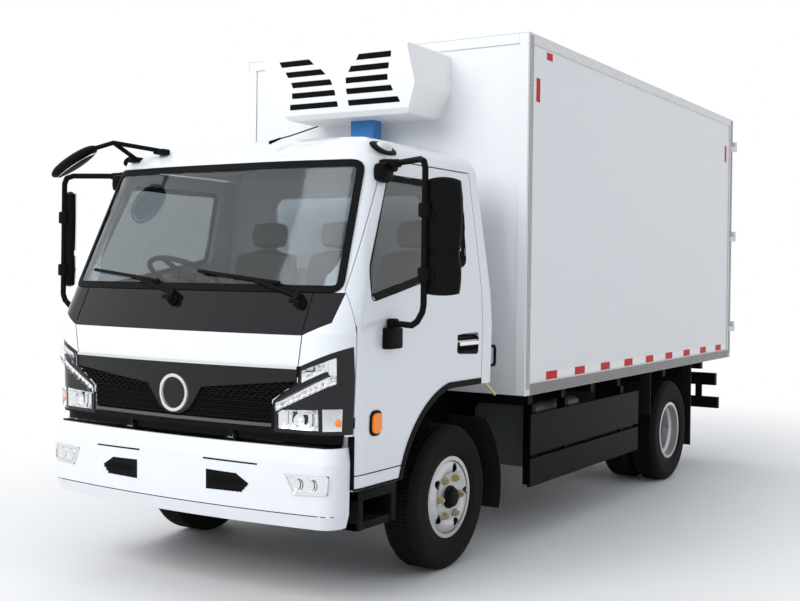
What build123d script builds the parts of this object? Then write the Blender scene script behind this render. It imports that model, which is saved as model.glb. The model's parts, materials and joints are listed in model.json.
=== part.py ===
"""Light refrigerated truck: cab-over chassis, tilting cab, insulated box with rear doors."""
import os
from collections import namedtuple
from math import cos, radians, sin, sqrt

from build123d import *

# Frame of the model: X to the truck's left, Y to its rear, Z up from the ground.
# Overall layout
overall_length = 5995.0
front_overhang = 1165.0
wheelbase = 3308.0
front_y = -overall_length / 2
rear_y = overall_length / 2
front_axle_y = front_y + front_overhang
rear_axle_y = front_axle_y + wheelbase

# General fits
running_clearance = 0.05
seat_gap = 0.3
move_gap = 6.0

# Wheels and tyres
tyre_radius = 394.0
tyre_width = 215.0
tyre_shoulder = 32.0
tyre_bead_width = 168.0
rim_radius = 208.0
rim_flange_radius = 222.0
rim_flange = 10.0
rim_wall = 8.0
rim_well_depth = 26.0
disc_thickness = 11.0
hub_radius = 82.0
rear_hub_length = 105.0
hub_closed_end = 33.0
spindle_radius = 32.0
hand_hole_radius = 24.0
hand_hole_count = 6
hand_hole_pitch_radius = 155.0
hub_cap_radius = 58.0
hub_cap_length = 46.0
stud_count = 6
stud_pitch_radius = 111.0
stud_radius = 13.0
stud_length = 24.0
front_track_half = 851.0
rear_outer_half = 940.0
twin_spacing = 245.0
front_disc_offset = 52.0
wheel_z = tyre_radius

# Ladder frame
frame_half = 375.0
rail_height = 180.0
rail_flange = 62.0
rail_thickness = 8.0
rail_top_z = 722.0
rail_bottom_z = rail_top_z - rail_height
rail_front_y = front_axle_y - 1040.0
rail_rear_y = rear_y - 120.0

# Axles, knuckles and springs
kingpin_half = 700.0
kingpin_radius = 20.0
kingpin_boss_radius = 44.0
kingpin_boss_height = 110.0
knuckle_ear = 26.0
yoke_plate = 20.0
beam_depth = 84.0
beam_height = 84.0
beam_drop = 84.0
steer_limit = 35.0
axle_tube_radius = 62.0
differential_radius = 168.0
differential_half = 150.0
spring_half = 375.0
spring_width = 70.0
spring_leaf = 14.0
front_spring_reach = 600.0
rear_spring_reach = 680.0
hanger_length = 90.0

# Cab
cab_wall = 60.0
cab_roof_top_z = 2340.0
cab_eave_half = 915.0
cab_eave_z = 2120.0
front_arc_radius = 6000.0
cab_corner_radius = 190.0
cab_front_bottom_z = 842.0
belt_z = 1522.0
cab_floor_thickness = 45.0
cab_floor_z = 845.0
cab_platform_z = 985.0
pivot_back = 1095.0
pivot_z = 815.0
pivot_half = 345.0
pivot_pin_radius = 10.0
pivot_eye_radius = 17.0
pivot_eye_width = 40.0
cab_rail_half = 780.0
roof_split_z = 2200.0

# Doors of the cab, measured back from the front axle
door_front = -955.0
door_rear = 250.0
door_bottom_z = 578.0
door_gap = 7.0
door_hinge_back = -918.0
door_hinge_half = 976.0
hinge_pin_radius = 6.0
hinge_eye_radius = 11.0
hinge_eye_height = 44.0
hinge_pocket = 2.0
door_inner_half = 902.0
door_corner_depth = 110.0
door_corner_height = 230.0
arch_front = -545.0
arch_top_z = 1000.0
glass_thickness = 6.0
window_depth = 24.0

# Rear doors of the box
rear_door_gap = 8.0
rear_door_bevel = 12.0
rear_hinge_out = 18.0
rear_hinge_back = 26.0
rear_hinge_pin_radius = 8.0
rear_hinge_eye_radius = 14.0
rear_hinge_strap = 16.0
rear_hinge_half_height = 44.0
rear_hinge_levels = (1180.0, 2000.0, 2820.0)
lock_bar_radius = 11.0
lock_bar_proud = 20.0
lock_bar_places = (150.0, 640.0)

# Insulated box
box_half = 1080.0
box_top_z = 3062.0
box_bottom_z = 900.0
box_front_back = 637.0
box_front_y = front_axle_y + box_front_back
box_rear_y = rear_y - rear_hinge_back - rear_hinge_eye_radius
box_wall = 80.0
trim_proud = 8.0
bottom_rail_height = 72.0
edge_rail_width = 62.0
post_width = 60.0
sill_height = 74.0
header_height = 70.0
frame_depth = 90.0
floor_top_z = 985.0
bearer_height = 78.0
bearer_width = 60.0
bearer_pitch = 480.0
long_bearer_width = 70.0
panel_half = box_half - trim_proud
panel_top_z = box_top_z - trim_proud
panel_front_y = box_front_y + trim_proud

SideRow = namedtuple("SideRow", "name side")
sides = (SideRow("left", 1), SideRow("right", -1))


# Wheels

def tyre_profile(centre_x):
    """Closed half section of a tyre in the plane of X and radius."""
    half = tyre_width / 2
    bead = tyre_bead_width / 2
    with BuildLine() as outline:
        Polyline(
            (centre_x - bead, rim_radius + seat_gap),
            (centre_x + bead, rim_radius + seat_gap),
            (centre_x + bead, rim_flange_radius + rim_flange),
            (centre_x + half, 0.56 * tyre_radius + 0.44 * rim_flange_radius),
            (centre_x + half - 0.5 * tyre_shoulder, tyre_radius - tyre_shoulder),
            (centre_x + half - 1.4 * tyre_shoulder, tyre_radius),
            (centre_x, tyre_radius),
        )
        mirror(about=Plane.YZ.offset(centre_x))
    return outline


def rim_profile_points(centre_x):
    """Section of a rim barrel: flange, bead seat, well, bead seat, flange."""
    half = tyre_bead_width / 2
    well = rim_radius - rim_well_depth
    outer = [
        (centre_x - half - rim_flange, rim_flange_radius),
        (centre_x - half - 0.2, rim_flange_radius),
        (centre_x - half - 0.2, rim_radius),
        (centre_x - 0.45 * half, rim_radius),
        (centre_x - 0.25 * half, well),
        (centre_x + 0.25 * half, well),
        (centre_x + 0.45 * half, rim_radius),
        (centre_x + half + 0.2, rim_radius),
        (centre_x + half + 0.2, rim_flange_radius),
        (centre_x + half + rim_flange, rim_flange_radius),
    ]
    inner = [
        (centre_x + half + rim_flange, rim_radius - rim_wall),
        (centre_x + 0.5 * half, rim_radius - rim_wall),
        (centre_x + 0.3 * half, well - rim_wall),
        (centre_x - 0.3 * half, well - rim_wall),
        (centre_x - 0.5 * half, rim_radius - rim_wall),
        (centre_x - half - rim_flange, rim_radius - rim_wall),
    ]
    return outer + inner


axis_front = Axis((0, front_axle_y, wheel_z), (1, 0, 0))
axis_rear = Axis((0, rear_axle_y, wheel_z), (1, 0, 0))
plane_front = Plane(origin=(0, front_axle_y, wheel_z), x_dir=(1, 0, 0), z_dir=(0, -1, 0))
plane_rear = Plane(origin=(0, rear_axle_y, wheel_z), x_dir=(1, 0, 0), z_dir=(0, -1, 0))

with BuildPart() as front_tyre_left:
    with BuildSketch(plane_front):
        add(make_face(tyre_profile(front_track_half).edges(), mode=Mode.PRIVATE))
    revolve(axis=axis_front)

rear_centres = (rear_outer_half, rear_outer_half - twin_spacing)
with BuildPart() as rear_tyres_left:
    for centre in rear_centres:
        with BuildSketch(plane_rear):
            add(make_face(tyre_profile(centre).edges(), mode=Mode.PRIVATE))
        revolve(axis=axis_rear)

disc_x = front_track_half + front_disc_offset
yoke_x = kingpin_half + kingpin_boss_radius + move_gap
hub_inner_x = yoke_x + yoke_plate + move_gap
through_length = 4 * tyre_width
with BuildPart() as front_rim_left:
    with BuildSketch(plane_front):
        with BuildLine():
            Polyline(*rim_profile_points(front_track_half), close=True)
        make_face()
        with BuildLine():
            Polyline(
                (disc_x, 0),
                (disc_x, hub_radius + 40),
                (disc_x - 14, hub_radius + 66),
                (disc_x - 44, rim_radius - rim_wall - 4),
                (disc_x - 44, rim_radius - rim_wall + 2),
                (disc_x - 44 - 2 * disc_thickness, rim_radius - rim_wall + 2),
                (disc_x - 44 - 2 * disc_thickness, rim_radius - rim_wall - 6),
                (disc_x - 14 - disc_thickness, hub_radius + 58),
                (disc_x - disc_thickness, hub_radius + 34),
                (disc_x - disc_thickness, hub_radius),
                (hub_inner_x, hub_radius),
                (hub_inner_x, 0),
                close=True,
            )
        make_face()
    revolve(axis=axis_front)
    with Locations(Plane(origin=(disc_x, front_axle_y, wheel_z), z_dir=(1, 0, 0))):
        Cylinder(hub_cap_radius, hub_cap_length, align=(Align.CENTER, Align.CENTER, Align.MIN))
        with PolarLocations(stud_pitch_radius, stud_count):
            Cylinder(stud_radius, stud_length, align=(Align.CENTER, Align.CENTER, Align.MIN))
        with PolarLocations(hand_hole_pitch_radius, hand_hole_count, start_angle=180 / hand_hole_count):
            Cylinder(hand_hole_radius, through_length, mode=Mode.SUBTRACT)
    with Locations(Plane(origin=(hub_inner_x, front_axle_y, wheel_z), z_dir=(1, 0, 0))):
        spindle_bore_depth = disc_x - hub_closed_end - hub_inner_x
        Cylinder(
            spindle_radius + running_clearance,
            spindle_bore_depth,
            align=(Align.CENTER, Align.CENTER, Align.MIN),
            mode=Mode.SUBTRACT,
        )

twin_x = rear_outer_half - twin_spacing / 2
rear_hub_inner_x = twin_x - rear_hub_length
with BuildPart() as rear_rims_left:
    with BuildSketch(plane_rear):
        for centre in rear_centres:
            with BuildLine():
                Polyline(*rim_profile_points(centre), close=True)
            make_face()
        for direction in (1, -1):
            with BuildLine():
                Polyline(
                    (twin_x, 0),
                    (twin_x, hub_radius + 62),
                    (twin_x + direction * 40, rim_radius - rim_wall + 2),
                    (twin_x + direction * (40 + 2 * disc_thickness), rim_radius - rim_wall + 2),
                    (twin_x + direction * disc_thickness, hub_radius + 52),
                    (twin_x + direction * disc_thickness, 0),
                    close=True,
                )
            make_face()
        with BuildLine():
            Polyline(
                (rear_hub_inner_x, 0),
                (rear_hub_inner_x, hub_radius),
                (twin_x + 3 * disc_thickness, hub_radius),
                (twin_x + 3 * disc_thickness + 40, hub_cap_radius),
                (twin_x + 3 * disc_thickness + 60, 0),
                close=True,
            )
        make_face()
    revolve(axis=axis_rear)
    with Locations(Plane(origin=(twin_x + disc_thickness, rear_axle_y, wheel_z), z_dir=(1, 0, 0))):
        with PolarLocations(stud_pitch_radius, stud_count):
            Cylinder(stud_radius, stud_length, align=(Align.CENTER, Align.CENTER, Align.MIN))
        with PolarLocations(hand_hole_pitch_radius, hand_hole_count, start_angle=180 / hand_hole_count):
            Cylinder(hand_hole_radius, through_length, mode=Mode.SUBTRACT)
    with Locations(Plane(origin=(rear_hub_inner_x, rear_axle_y, wheel_z), z_dir=(1, 0, 0))):
        rear_bore_depth = rear_hub_length - disc_thickness
        Cylinder(
            axle_tube_radius - 10 + running_clearance,
            rear_bore_depth,
            align=(Align.CENTER, Align.CENTER, Align.MIN),
            mode=Mode.SUBTRACT,
        )

# Steering knuckles: a yoke round the kingpin boss and a spindle in the hub
ear_z = kingpin_boss_height / 2 + seat_gap
with BuildPart() as knuckle_left:
    for level in (ear_z, -ear_z - knuckle_ear):
        with Locations((kingpin_half, front_axle_y, wheel_z + level)):
            Cylinder(kingpin_boss_radius, knuckle_ear, align=(Align.CENTER, Align.CENTER, Align.MIN))
            Box(
                yoke_x - kingpin_half + yoke_plate,
                2 * kingpin_boss_radius - 8,
                knuckle_ear,
                align=(Align.MIN, Align.CENTER, Align.MIN),
            )
    with Locations((yoke_x, front_axle_y, wheel_z)):
        Box(
            yoke_plate,
            2 * kingpin_boss_radius - 8,
            2 * (ear_z + knuckle_ear),
            align=(Align.MIN, Align.CENTER, Align.CENTER),
        )
    with Locations(Plane(origin=(yoke_x, front_axle_y, wheel_z), z_dir=(1, 0, 0))):
        Cylinder(
            spindle_radius,
            hub_inner_x + spindle_bore_depth - yoke_x - move_gap,
            align=(Align.CENTER, Align.CENTER, Align.MIN),
        )
    with Locations((kingpin_half, front_axle_y, wheel_z)):
        Cylinder(kingpin_radius + running_clearance, 4 * kingpin_boss_height, mode=Mode.SUBTRACT)

# Front axle: dropped beam, bosses and kingpins
beam_z = wheel_z - beam_drop
with BuildPart() as front_axle:
    with BuildSketch(Plane.XZ.offset(-front_axle_y)):
        with BuildLine():
            Polyline(
                (0, beam_z + beam_height / 2),
                (spring_half + 70, beam_z + beam_height / 2),
                (kingpin_half - 60, wheel_z + beam_height / 2),
                (kingpin_half, wheel_z + beam_height / 2),
                (kingpin_half, wheel_z - beam_height / 2),
                (kingpin_half - 30, wheel_z - beam_height / 2),
                (spring_half + 100, beam_z - beam_height / 2),
                (0, beam_z - beam_height / 2),
                close=True,
            )
        make_face()
        mirror(about=Plane.YZ)
    extrude(amount=beam_depth / 2, both=True)
    for row in sides:
        with Locations((row.side * kingpin_half, front_axle_y, wheel_z)):
            Cylinder(kingpin_boss_radius, kingpin_boss_height)
            Cylinder(kingpin_radius, kingpin_boss_height + 2 * knuckle_ear + 8)

# Rear axle: tube, differential, spindles and propeller shaft
spindle_end_x = rear_hub_inner_x + rear_bore_depth - 5
propeller_front_y = front_axle_y + 1010.0
propeller_z = wheel_z + 30.0
propeller_radius = 44.0
with BuildPart() as rear_axle:
    with BuildSketch(plane_rear):
        with BuildLine():
            Polyline(
                (0, 0),
                (spindle_end_x, 0),
                (spindle_end_x, axle_tube_radius - 10),
                (rear_hub_inner_x - move_gap, axle_tube_radius - 10),
                (rear_hub_inner_x - move_gap, axle_tube_radius),
                (differential_half + 60, axle_tube_radius),
            )
            ThreePointArc(
                (differential_half + 60, axle_tube_radius),
                (differential_half * 0.8, differential_radius * 0.84),
                (0, differential_radius),
            )
            Line((0, differential_radius), (0, 0))
        make_face()
        mirror(about=Plane.YZ)
    revolve(axis=axis_rear)
    with BuildSketch(Plane.XZ.offset(-rear_axle_y)):
        with Locations((0, propeller_z)):
            Circle(propeller_radius)
    extrude(amount=rear_axle_y - propeller_front_y)

# Leaf springs under the frame rails, with their hangers
SpringRow = namedtuple("SpringRow", "axle_y reach seat_z leaves camber")
springs = (
    SpringRow(front_axle_y, front_spring_reach, beam_z + beam_height / 2 + seat_gap, 4, 120.0),
    SpringRow(rear_axle_y, rear_spring_reach, wheel_z + axle_tube_radius + seat_gap, 4, 22.0),
)
with BuildPart() as leaf_springs:
    for row in springs:
        with BuildSketch(Plane.YZ.offset(spring_half - spring_width / 2)):
            for leaf in range(row.leaves):
                reach = row.reach * (0.4 + 0.6 * leaf / (row.leaves - 1))
                low = row.seat_z + leaf * spring_leaf
                rise = row.camber * (reach / row.reach) ** 2
                with BuildLine():
                    ThreePointArc(
                        (row.axle_y - reach, low + rise),
                        (row.axle_y, low),
                        (row.axle_y + reach, low + rise),
                    )
                    Line(
                        (row.axle_y + reach, low + rise),
                        (row.axle_y + reach, low + rise + spring_leaf),
                    )
                    ThreePointArc(
                        (row.axle_y + reach, low + rise + spring_leaf),
                        (row.axle_y, low + spring_leaf),
                        (row.axle_y - reach, low + rise + spring_leaf),
                    )
                    Line(
                        (row.axle_y - reach, low + rise + spring_leaf),
                        (row.axle_y - reach, low + rise),
                    )
                make_face()
            for end in (-1, 1):
                with Locations((row.axle_y + end * row.reach, rail_bottom_z)):
                    Rectangle(64, hanger_length, align=(Align.CENTER, Align.MAX))
        extrude(amount=spring_width)
    mirror(about=Plane.YZ)

# Frame rails: two channels, open side inwards
with BuildPart() as frame_rails:
    with BuildSketch(Plane.XZ.offset(-rail_front_y)):
        with BuildLine():
            Polyline(
                (frame_half, rail_bottom_z),
                (frame_half, rail_top_z),
                (frame_half - rail_flange, rail_top_z),
                (frame_half - rail_flange, rail_top_z - rail_thickness),
                (frame_half - rail_thickness, rail_top_z - rail_thickness),
                (frame_half - rail_thickness, rail_bottom_z + rail_thickness),
                (frame_half - rail_flange, rail_bottom_z + rail_thickness),
                (frame_half - rail_flange, rail_bottom_z),
                close=True,
            )
        make_face()
    extrude(amount=-(rail_rear_y - rail_front_y))
    mirror(about=Plane.YZ)

# Cross members between the rail webs
engine_bottom_z = 452.0
gearbox_bottom_z = 360.0
gearbox_height = 340.0
engine_front = -430.0
engine_rear = 470.0
MemberRow = namedtuple("MemberRow", "y depth bottom top half")
web_half = frame_half - rail_thickness
member_low_z = rail_bottom_z + rail_thickness
member_high_z = rail_top_z - rail_thickness
cross_rows = (
    MemberRow(rail_front_y + 40, 80, member_low_z, member_high_z, web_half),
    MemberRow(propeller_front_y + 90, 60, member_low_z, member_high_z, web_half),
    MemberRow(front_axle_y + 1800, 60, member_low_z, member_high_z, web_half),
    MemberRow(rear_axle_y - 760, 60, member_low_z, member_high_z, web_half),
    MemberRow(rear_axle_y + 700, 60, member_low_z, member_high_z, web_half),
    MemberRow(rail_rear_y - 30, 60, member_low_z, member_high_z, web_half),
)
cab_support_y = front_axle_y + 230.0
support_leg = 60.0
with BuildPart() as cross_members:
    for row in cross_rows:
        with Locations((0, row.y, row.bottom)):
            Box(2 * row.half, row.depth, row.top - row.bottom, align=(Align.CENTER, Align.CENTER, Align.MIN))
    with BuildSketch(Plane.XZ.offset(-cab_support_y)):
        with Locations((0, rail_top_z)):
            Rectangle(
                2 * frame_half,
                cab_platform_z - seat_gap - rail_top_z,
                align=(Align.CENTER, Align.MIN),
            )
            Rectangle(
                2 * (frame_half - support_leg),
                cab_platform_z - seat_gap - rail_top_z - support_leg,
                align=(Align.CENTER, Align.MIN),
                mode=Mode.SUBTRACT,
            )
    extrude(amount=40, both=True)
    pivot_y = front_axle_y - pivot_back
    bracket_half = pivot_eye_width / 2 + seat_gap
    for row in sides:
        with BuildSketch(Plane.YZ.offset(row.side * pivot_half)):
            with BuildLine():
                Polyline(
                    (rail_front_y, rail_top_z),
                    (rail_front_y + 110, rail_top_z),
                    (pivot_y + pivot_pin_radius + 6, pivot_z + 8),
                    (pivot_y - pivot_pin_radius - 4, pivot_z + 8),
                    (pivot_y - pivot_pin_radius - 4, pivot_z - 40),
                    close=True,
                )
            make_face()
        extrude(amount=bracket_half + 12, both=True)
        with BuildSketch(Plane.YZ.offset(row.side * pivot_half)):
            with Locations((pivot_y, pivot_z)):
                Circle(pivot_eye_radius + move_gap)
                Rectangle(
                    4 * pivot_eye_radius,
                    pivot_eye_radius + move_gap,
                    align=(Align.CENTER, Align.MIN),
                )
        extrude(amount=bracket_half, both=True, mode=Mode.SUBTRACT)
        with Locations(Plane(origin=(row.side * pivot_half, pivot_y, pivot_z), z_dir=(1, 0, 0))):
            Cylinder(pivot_pin_radius, 2 * bracket_half + 24)

# Engine with its gearbox, one plain block carried by the frame
with BuildPart() as engine_block:
    with Locations((0, front_axle_y + engine_front, engine_bottom_z)):
        Box(
            520,
            engine_rear - engine_front,
            470,
            align=(Align.CENTER, Align.MIN, Align.MIN),
        )
    with Locations((0, front_axle_y + engine_rear, gearbox_bottom_z)):
        Box(
            320,
            propeller_front_y - front_axle_y - engine_rear,
            gearbox_height,
            align=(Align.CENTER, Align.MIN, Align.MIN),
        )
    for mount_back in (-250.0, 250.0):
        with Locations((0, front_axle_y + mount_back, member_low_z + 20)):
            Box(2 * web_half, 70, 70, align=(Align.CENTER, Align.CENTER, Align.MIN))

# Cab shell

CabSection = namedtuple("CabSection", "z front half_width rear")
cab_sections = (
    CabSection(560.0, -1125.0, 986.0, 356.0),
    CabSection(1330.0, -1150.0, 1000.0, 360.0),
    CabSection(1522.0, -1062.0, 990.0, 355.0),
    CabSection(2190.0, -795.0, 905.0, 320.0),
    CabSection(2370.0, -724.0, 882.0, 311.0),
)


def plan_outline(front, half_width, rear, corner, arc_radius):
    """Plan outline with a bowed front, rounded front corners and a straight rear."""
    big_y = front + arc_radius
    small_x = half_width - corner
    small_y = big_y - sqrt((arc_radius - corner) ** 2 - small_x**2)
    reach = arc_radius / (arc_radius - corner)
    touch = (small_x * reach, big_y + (small_y - big_y) * reach)
    middle_x = (touch[0] - small_x) / corner + 1
    middle_y = (touch[1] - small_y) / corner
    length = sqrt(middle_x**2 + middle_y**2)
    middle = (small_x + corner * middle_x / length, small_y + corner * middle_y / length)
    with BuildLine() as outline:
        Line((-half_width, rear), (half_width, rear))
        Line((half_width, rear), (half_width, small_y))
        ThreePointArc((half_width, small_y), middle, touch)
        ThreePointArc(touch, (0, front), (-touch[0], touch[1]))
        ThreePointArc((-touch[0], touch[1]), (-middle[0], middle[1]), (-half_width, small_y))
        Line((-half_width, small_y), (-half_width, rear))
    return outline


def cab_solid(inset):
    """Outer form of the cab, moved inwards by an even inset."""
    with BuildPart() as solid:
        for row in cab_sections:
            with BuildSketch(Plane.XY.offset(row.z)):
                add(
                    make_face(
                        plan_outline(
                            front_axle_y + row.front + inset,
                            row.half_width - inset,
                            front_axle_y + row.rear - inset,
                            cab_corner_radius - inset,
                            front_arc_radius - inset,
                        ).edges(),
                        mode=Mode.PRIVATE,
                    )
                )
        loft(ruled=True)
        with BuildSketch(Plane.XZ):
            with BuildLine():
                ThreePointArc(
                    (cab_eave_half - inset, cab_eave_z),
                    (cab_eave_half - 45 - inset, cab_eave_z + 138 - inset),
                    (cab_eave_half - 175 - inset, cab_roof_top_z - 24 - inset),
                )
                ThreePointArc(
                    (cab_eave_half - 175 - inset, cab_roof_top_z - 24 - inset),
                    (0, cab_roof_top_z - inset),
                    (-(cab_eave_half - 175 - inset), cab_roof_top_z - 24 - inset),
                )
                ThreePointArc(
                    (-(cab_eave_half - 175 - inset), cab_roof_top_z - 24 - inset),
                    (-(cab_eave_half - 45 - inset), cab_eave_z + 138 - inset),
                    (-(cab_eave_half - inset), cab_eave_z),
                )
                Polyline(
                    (-(cab_eave_half - inset), cab_eave_z),
                    (-1200, cab_eave_z),
                    (-1200, 300),
                    (1200, 300),
                    (1200, cab_eave_z),
                    (cab_eave_half - inset, cab_eave_z),
                )
            make_face()
        extrude(amount=4000, both=True, mode=Mode.INTERSECT)
        with BuildSketch(Plane.YZ):
            with BuildLine():
                ThreePointArc(
                    (front_axle_y - 827 + inset, 2110),
                    (front_axle_y - 706 + inset, 2262 - inset),
                    (front_axle_y - 470 + inset, cab_roof_top_z - 8 - inset),
                )
                ThreePointArc(
                    (front_axle_y - 470 + inset, cab_roof_top_z - 8 - inset),
                    (front_axle_y - 100, cab_roof_top_z - inset),
                    (front_axle_y + 225 - inset, cab_roof_top_z - 22 - inset),
                )
                ThreePointArc(
                    (front_axle_y + 225 - inset, cab_roof_top_z - 22 - inset),
                    (front_axle_y + 297 - inset, cab_roof_top_z - 58 - inset),
                    (front_axle_y + 324 - inset, 2190),
                )
                Polyline(
                    (front_axle_y + 324 - inset, 2190),
                    (front_axle_y + 600, 2190),
                    (front_axle_y + 600, 300),
                    (front_axle_y - 1400, 300),
                    (front_axle_y - 1400, 2110),
                    (front_axle_y - 827 + inset, 2110),
                )
            make_face()
        extrude(amount=1500, both=True, mode=Mode.INTERSECT)
    return solid.part


cab_outer = cab_solid(0)
cab_cavity = cab_solid(cab_wall)

with BuildPart() as cab_shell:
    add(cab_outer)
    add(cab_cavity, mode=Mode.SUBTRACT)
    with BuildSketch(Plane.YZ):
        with BuildLine():
            Polyline(
                (front_axle_y + arch_front, 300),
                (front_axle_y + arch_front, door_bottom_z),
            )
            ThreePointArc(
                (front_axle_y + arch_front, door_bottom_z),
                (front_axle_y - 400, 836),
                (front_axle_y - 100, arch_top_z),
            )
            Polyline(
                (front_axle_y - 100, arch_top_z),
                (front_axle_y + 600, arch_top_z),
                (front_axle_y + 600, 300),
                (front_axle_y + arch_front, 300),
            )
        make_face()
    extrude(amount=1500, both=True, mode=Mode.SUBTRACT)


side_reach = 1300.0


def door_prism(grow):
    """Side outline of a cab door, grown by a margin on every edge, through both side walls."""
    with BuildPart() as prism:
        with BuildSketch(Plane.YZ.offset(-side_reach)):
            with BuildLine():
                Polyline(
                    (front_axle_y + door_front - grow, door_bottom_z - 3 * grow),
                    (front_axle_y + door_front - grow, belt_z + 10),
                    (front_axle_y - 612 - grow, 2188 + grow),
                    (front_axle_y + door_rear - 20 + grow, 2188 + grow),
                    (front_axle_y + door_rear + grow, 1700),
                    (front_axle_y + door_rear + grow, door_bottom_z - 3 * grow),
                    close=True,
                )
            make_face()
        extrude(amount=2 * side_reach)
    return prism.part


def window_prism(shrink):
    """Side outline of a door window through both side walls."""
    with BuildPart() as prism:
        with BuildSketch(Plane.YZ.offset(-side_reach)) as outline:
            with BuildLine():
                Polyline(
                    (front_axle_y - 842 + shrink, 1478 + shrink),
                    (front_axle_y + 100 - shrink, 1672 + shrink),
                    (front_axle_y + 136 - shrink, 2112 - shrink),
                    (front_axle_y - 600 + 0.6 * shrink, 2112 - shrink),
                    (front_axle_y - 828 + shrink, 1640),
                    close=True,
                )
            make_face()
            fillet(outline.vertices(), 40 - shrink)
        extrude(amount=2 * side_reach)
    return prism.part


def front_prism(points, shrink, corner=0.0):
    """Symmetric front view outline, from its left half's points, carried back through the cab front."""
    with BuildPart() as prism:
        with BuildSketch(Plane.XZ.offset(300 - front_axle_y)) as outline:
            with BuildLine():
                Polyline(*points, *[(-x, z) for x, z in reversed(points)], close=True)
            make_face()
            if corner:
                fillet(outline.vertices(), corner)
            if shrink:
                offset(amount=-shrink, kind=Kind.INTERSECTION, mode=Mode.REPLACE)
        extrude(amount=1100)
    return prism.part


def lamp_prism(points, shrink):
    """Front view outline of one left lamp, carried back through the cab front, with its twin."""
    with BuildPart() as prism:
        with BuildSketch(Plane.XZ.offset(300 - front_axle_y)):
            with BuildLine():
                Polyline(*points, close=True)
            make_face()
            if shrink:
                offset(amount=-shrink, kind=Kind.INTERSECTION, mode=Mode.REPLACE)
        extrude(amount=1100)
        mirror(about=Plane.YZ)
    return prism.part


screen_corner = 50.0
screen_points = [(909, 1525), (844, 2178)]
panel_points = [(773, 1318), (905, 1380), (925, belt_z)]
grille_points = [(606, 868), (606, 1003), (744, 1095), (751, 1170)]
lamp_points = [(612, 850), (612, 1000), (750, 1092), (757, 1170), (985, 1268), (985, 850)]
wing_points = [(34, 898), (98, 928), (182, 1042), (790, 1104), (790, 1200)]
beam_points = [(640, 868), (640, 960), (858, 972), (858, 868)]
turn_points = [(874, 866), (874, 974), (952, 976), (948, 866)]
strip_points = [(624, 950), (624, 992), (903, 1130), (903, 1206), (934, 1218), (934, 1094)]
position_points = [(768, 1092), (768, 1152), (890, 1200), (890, 1150)]

screen_cut = front_prism(screen_points, 0, screen_corner)
screen_form = front_prism(screen_points, seat_gap, screen_corner)
panel_cut = front_prism(panel_points, 0)
panel_form = front_prism(panel_points, seat_gap)
grille_cut = front_prism(grille_points, 0)
grille_form = front_prism(grille_points, seat_gap)
lamp_cut = lamp_prism(lamp_points, 0)
lamp_form = lamp_prism(lamp_points, seat_gap)
door_cut = door_prism(door_gap)
door_form = door_prism(0)
window_cut = window_prism(0)
window_form = window_prism(seat_gap)

lamp_depth = 44.0
grille_depth = 34.0
lamp_back = cab_solid(lamp_depth)
lamp_seat = cab_solid(lamp_depth - seat_gap)
with BuildPart() as lamp_pocket:
    add(lamp_cut)
    add(lamp_back, mode=Mode.SUBTRACT)

# Cab front below the windscreen, with the pivot eyes of the tilt
with BuildPart() as cab_front_wall:
    add(cab_shell.part)
    with Locations((0, front_axle_y - 900, cab_front_bottom_z)):
        Box(
            2400,
            1000,
            belt_z - cab_front_bottom_z,
            align=(Align.CENTER, Align.CENTER, Align.MIN),
            mode=Mode.INTERSECT,
        )
    add(door_cut, mode=Mode.SUBTRACT)
    add(panel_cut, mode=Mode.SUBTRACT)
    add(grille_cut, mode=Mode.SUBTRACT)
    add(lamp_pocket.part, mode=Mode.SUBTRACT)
    pivot_lug_top_z = cab_front_bottom_z + 26
    for row in sides:
        with BuildSketch(Plane.YZ.offset(row.side * pivot_half)):
            with Locations((pivot_y, pivot_z)):
                Circle(pivot_eye_radius)
                Rectangle(
                    2 * pivot_eye_radius,
                    pivot_lug_top_z - pivot_z,
                    align=(Align.CENTER, Align.MIN),
                )
                Circle(pivot_pin_radius + running_clearance, mode=Mode.SUBTRACT)
        extrude(amount=pivot_eye_width / 2, both=True)

# Door hinge arms reach out from behind the front corners to the hinge line
hinge_y = front_axle_y + door_hinge_back
hinge_levels = (905.0, 1338.0)
arm_root_half = door_hinge_half - 71
arm_root_width = 50.0
hinge_root_depth = 8.0
with BuildPart() as hinge_arms:
    for level in hinge_levels:
        with BuildSketch(Plane.XY.offset(level - hinge_eye_height / 2)):
            with Locations((arm_root_half, hinge_y + hinge_eye_radius)):
                Rectangle(arm_root_width, 110, align=(Align.CENTER, Align.MAX))
            with Locations((door_hinge_half, hinge_y)):
                Rectangle(
                    door_hinge_half - arm_root_half,
                    2 * hinge_eye_radius,
                    align=(Align.MAX, Align.CENTER),
                )
                Circle(hinge_eye_radius)
                Circle(hinge_pin_radius + running_clearance, mode=Mode.SUBTRACT)
        extrude(amount=hinge_eye_height)
    mirror(about=Plane.YZ)
    add(cab_solid(cab_wall - hinge_root_depth), mode=Mode.INTERSECT)

with BuildPart() as cab_front:
    add(cab_front_wall.part)
    add(hinge_arms.part)

# Side frames: windscreen pillars, roof rails and rear corners
with BuildPart() as cab_sides:
    add(cab_shell.part)
    with Locations((0, front_axle_y - 300, 0)):
        Box(2 * cab_rail_half, 2400, 6000, mode=Mode.SUBTRACT)
    with Locations((0, front_axle_y - 600, belt_z)):
        Box(2400, 1400, 1200, align=(Align.CENTER, Align.CENTER, Align.MAX), mode=Mode.SUBTRACT)
    add(screen_cut, mode=Mode.SUBTRACT)
    add(door_cut, mode=Mode.SUBTRACT)

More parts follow.
